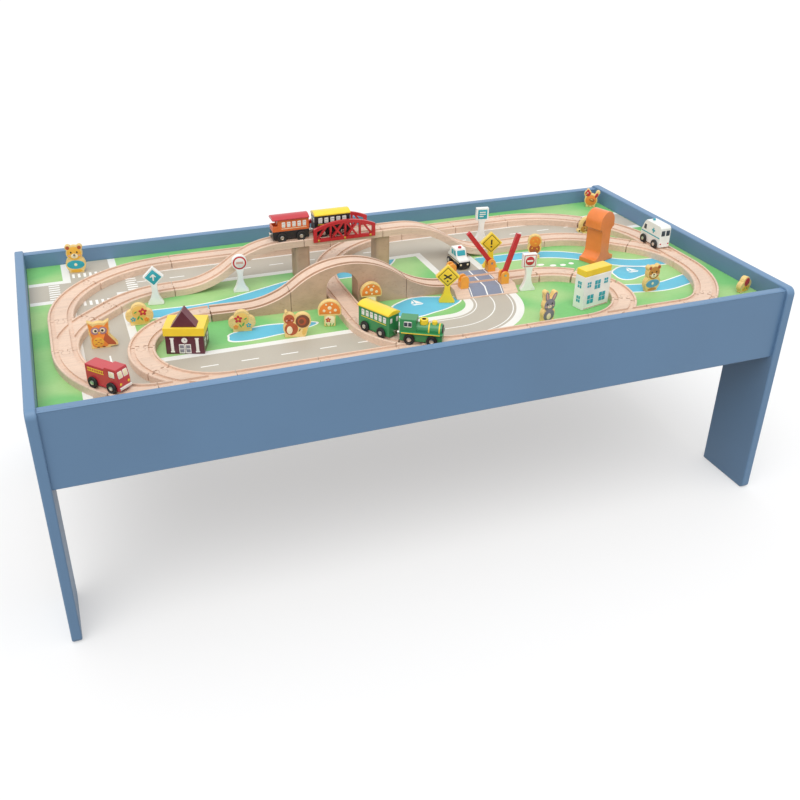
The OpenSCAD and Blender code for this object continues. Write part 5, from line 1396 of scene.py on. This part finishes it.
class TRAINTABLE_OT_stage(TrainTableOperator, bpy.types.Operator):
    """Sets the pale floor, the soft light and the camera."""

    bl_idname = "traintable.stage"
    bl_label = "Floor, light and camera"

    def make(self, scene):
        settings = scene.traintable_stage
        scene.view_settings.view_transform = "Standard"
        mesh = bpy.data.meshes.new("studio_floor")
        corners = [(-FLOOR_REACH, -FLOOR_REACH, 0), (FLOOR_REACH, -FLOOR_REACH, 0),
                   (FLOOR_REACH, FLOOR_REACH, 0), (-FLOOR_REACH, FLOOR_REACH, 0)]
        mesh.from_pydata(corners, [], [(0, 1, 2, 3)])
        mesh.materials.append(self.floor_paint(settings.floor))
        floor = bpy.data.objects.new("studio_floor", mesh)
        scene.collection.objects.link(floor)

        world = bpy.data.worlds.new("studio_room")
        scene.world = world
        world.use_nodes = True
        tree = world.node_tree
        tree.nodes.clear()
        level = add(tree, "MapRange", {"Value": self.seen(tree), "To Min": settings.sky, "To Max": 1.0})
        room = add(tree, "Background", {"Color": WHITE, "Strength": level})
        add(tree, "OutputWorld", {"Surface": room})

        lamp = bpy.data.lights.new("large_soft_lamp", "SUN")
        lamp.energy = settings.sun
        lamp.angle = math.radians(50)
        soft_lamp = bpy.data.objects.new("large_soft_lamp", lamp)
        soft_lamp.rotation_euler = (math.radians(24), math.radians(-16), 0)
        scene.collection.objects.link(soft_lamp)

        lens = bpy.data.cameras.new("photo_camera")
        lens.sensor_width = 36
        lens.lens = 41.81
        lens.shift_x = 0.0421
        lens.shift_y = -0.0063
        lens.clip_end = 60
        camera = bpy.data.objects.new("photo_camera", lens)
        camera.location = (-0.5229, -1.3957, 0.9933)
        camera.rotation_euler = (math.radians(90 - 29.669), math.radians(0.093), math.radians(-19.279))
        scene.collection.objects.link(camera)
        scene.camera = camera

    def floor_paint(self, colour):
        """Matt white floor with faint clouds: it glows where it is seen, and throws back less light."""
        material, tree, co = start_material("studio_floor")
        seen = self.seen(tree)
        cloud = add(tree, "TexNoise", {"Vector": co, "Scale": per_mm(900), "Detail": 1.0})
        pale = add(tree, "ValToRGB", {"Fac": cloud}, spread(colour, 0.985, 1))
        lit = add(tree, "Mix", {0: seen, 6: FLOOR_BOUNCE, 7: pale}, data_type="RGBA")
        matt = add(tree, "BsdfDiffuse", {"Color": lit})
        glow = add(tree, "Emission", {"Color": WHITE, "Strength": seen})
        add(tree, "OutputMaterial", {"Surface": add(tree, "MixShader", {0: FLOOR_GLOW, 1: matt, 2: glow})})
        return material

    def seen(self, tree):
        """1 for camera, glossy and transmission rays, which see the white backdrop, and 0 for other rays."""
        path = add(tree, "LightPath")
        direct = add(tree, "Math", {0: path.outputs["Is Camera Ray"], 1: path.outputs["Is Glossy Ray"]},
                     operation="MAXIMUM")
        return add(tree, "Math", {0: direct, 1: path.outputs["Is Transmission Ray"]}, operation="MAXIMUM")


# Add-on


class TRAINTABLE_PT_panel(bpy.types.Panel):
    """Lists the settings and the steps that dress the train table."""

    bl_idname = "TRAINTABLE_PT_panel"
    bl_label = "Train table"
    bl_space_type = "VIEW_3D"
    bl_region_type = "UI"
    bl_category = "Train table"

    def draw(self, context):
        for name, group in SETTINGS.items():
            box = self.layout.box()
            for key in group.__annotations__:
                box.prop(getattr(context.scene, name), key)
        for step in STEPS:
            self.layout.operator(step.bl_idname)


SETTINGS = {"traintable_tray": TrainTableTray, "traintable_board": TrainTableBoard,
            "traintable_railway": TrainTableRailway, "traintable_toys": TrainTableToys,
            "traintable_stage": TrainTableStage}
STEPS = (TRAINTABLE_OT_stage, TRAINTABLE_OT_tray, TRAINTABLE_OT_board_print, TRAINTABLE_OT_railway,
         TRAINTABLE_OT_crossing, TRAINTABLE_OT_wheels, TRAINTABLE_OT_engine, TRAINTABLE_OT_coaches,
         TRAINTABLE_OT_road_vehicles, TRAINTABLE_OT_buildings, TRAINTABLE_OT_signs, TRAINTABLE_OT_figures)


def register():
    for group in (*SETTINGS.values(), *STEPS, TRAINTABLE_PT_panel):
        bpy.utils.register_class(group)
    for name, group in SETTINGS.items():
        setattr(bpy.types.Scene, name, bpy.props.PointerProperty(type=group))


def unregister():
    for name in SETTINGS:
        delattr(bpy.types.Scene, name)
    for group in (TRAINTABLE_PT_panel, *reversed(STEPS), *SETTINGS.values()):
        bpy.utils.unregister_class(group)


def main():
    """Registers the add-on and runs every step in order."""
    register()
    bpy.ops.traintable.stage()
    bpy.ops.traintable.tray()
    bpy.ops.traintable.board_print()
    bpy.ops.traintable.railway()
    bpy.ops.traintable.crossing()
    bpy.ops.traintable.wheels()
    bpy.ops.traintable.engine()
    bpy.ops.traintable.coaches()
    bpy.ops.traintable.road_vehicles()
    bpy.ops.traintable.buildings()
    bpy.ops.traintable.signs()
    bpy.ops.traintable.figures()


if __name__ == "__main__":
    main()
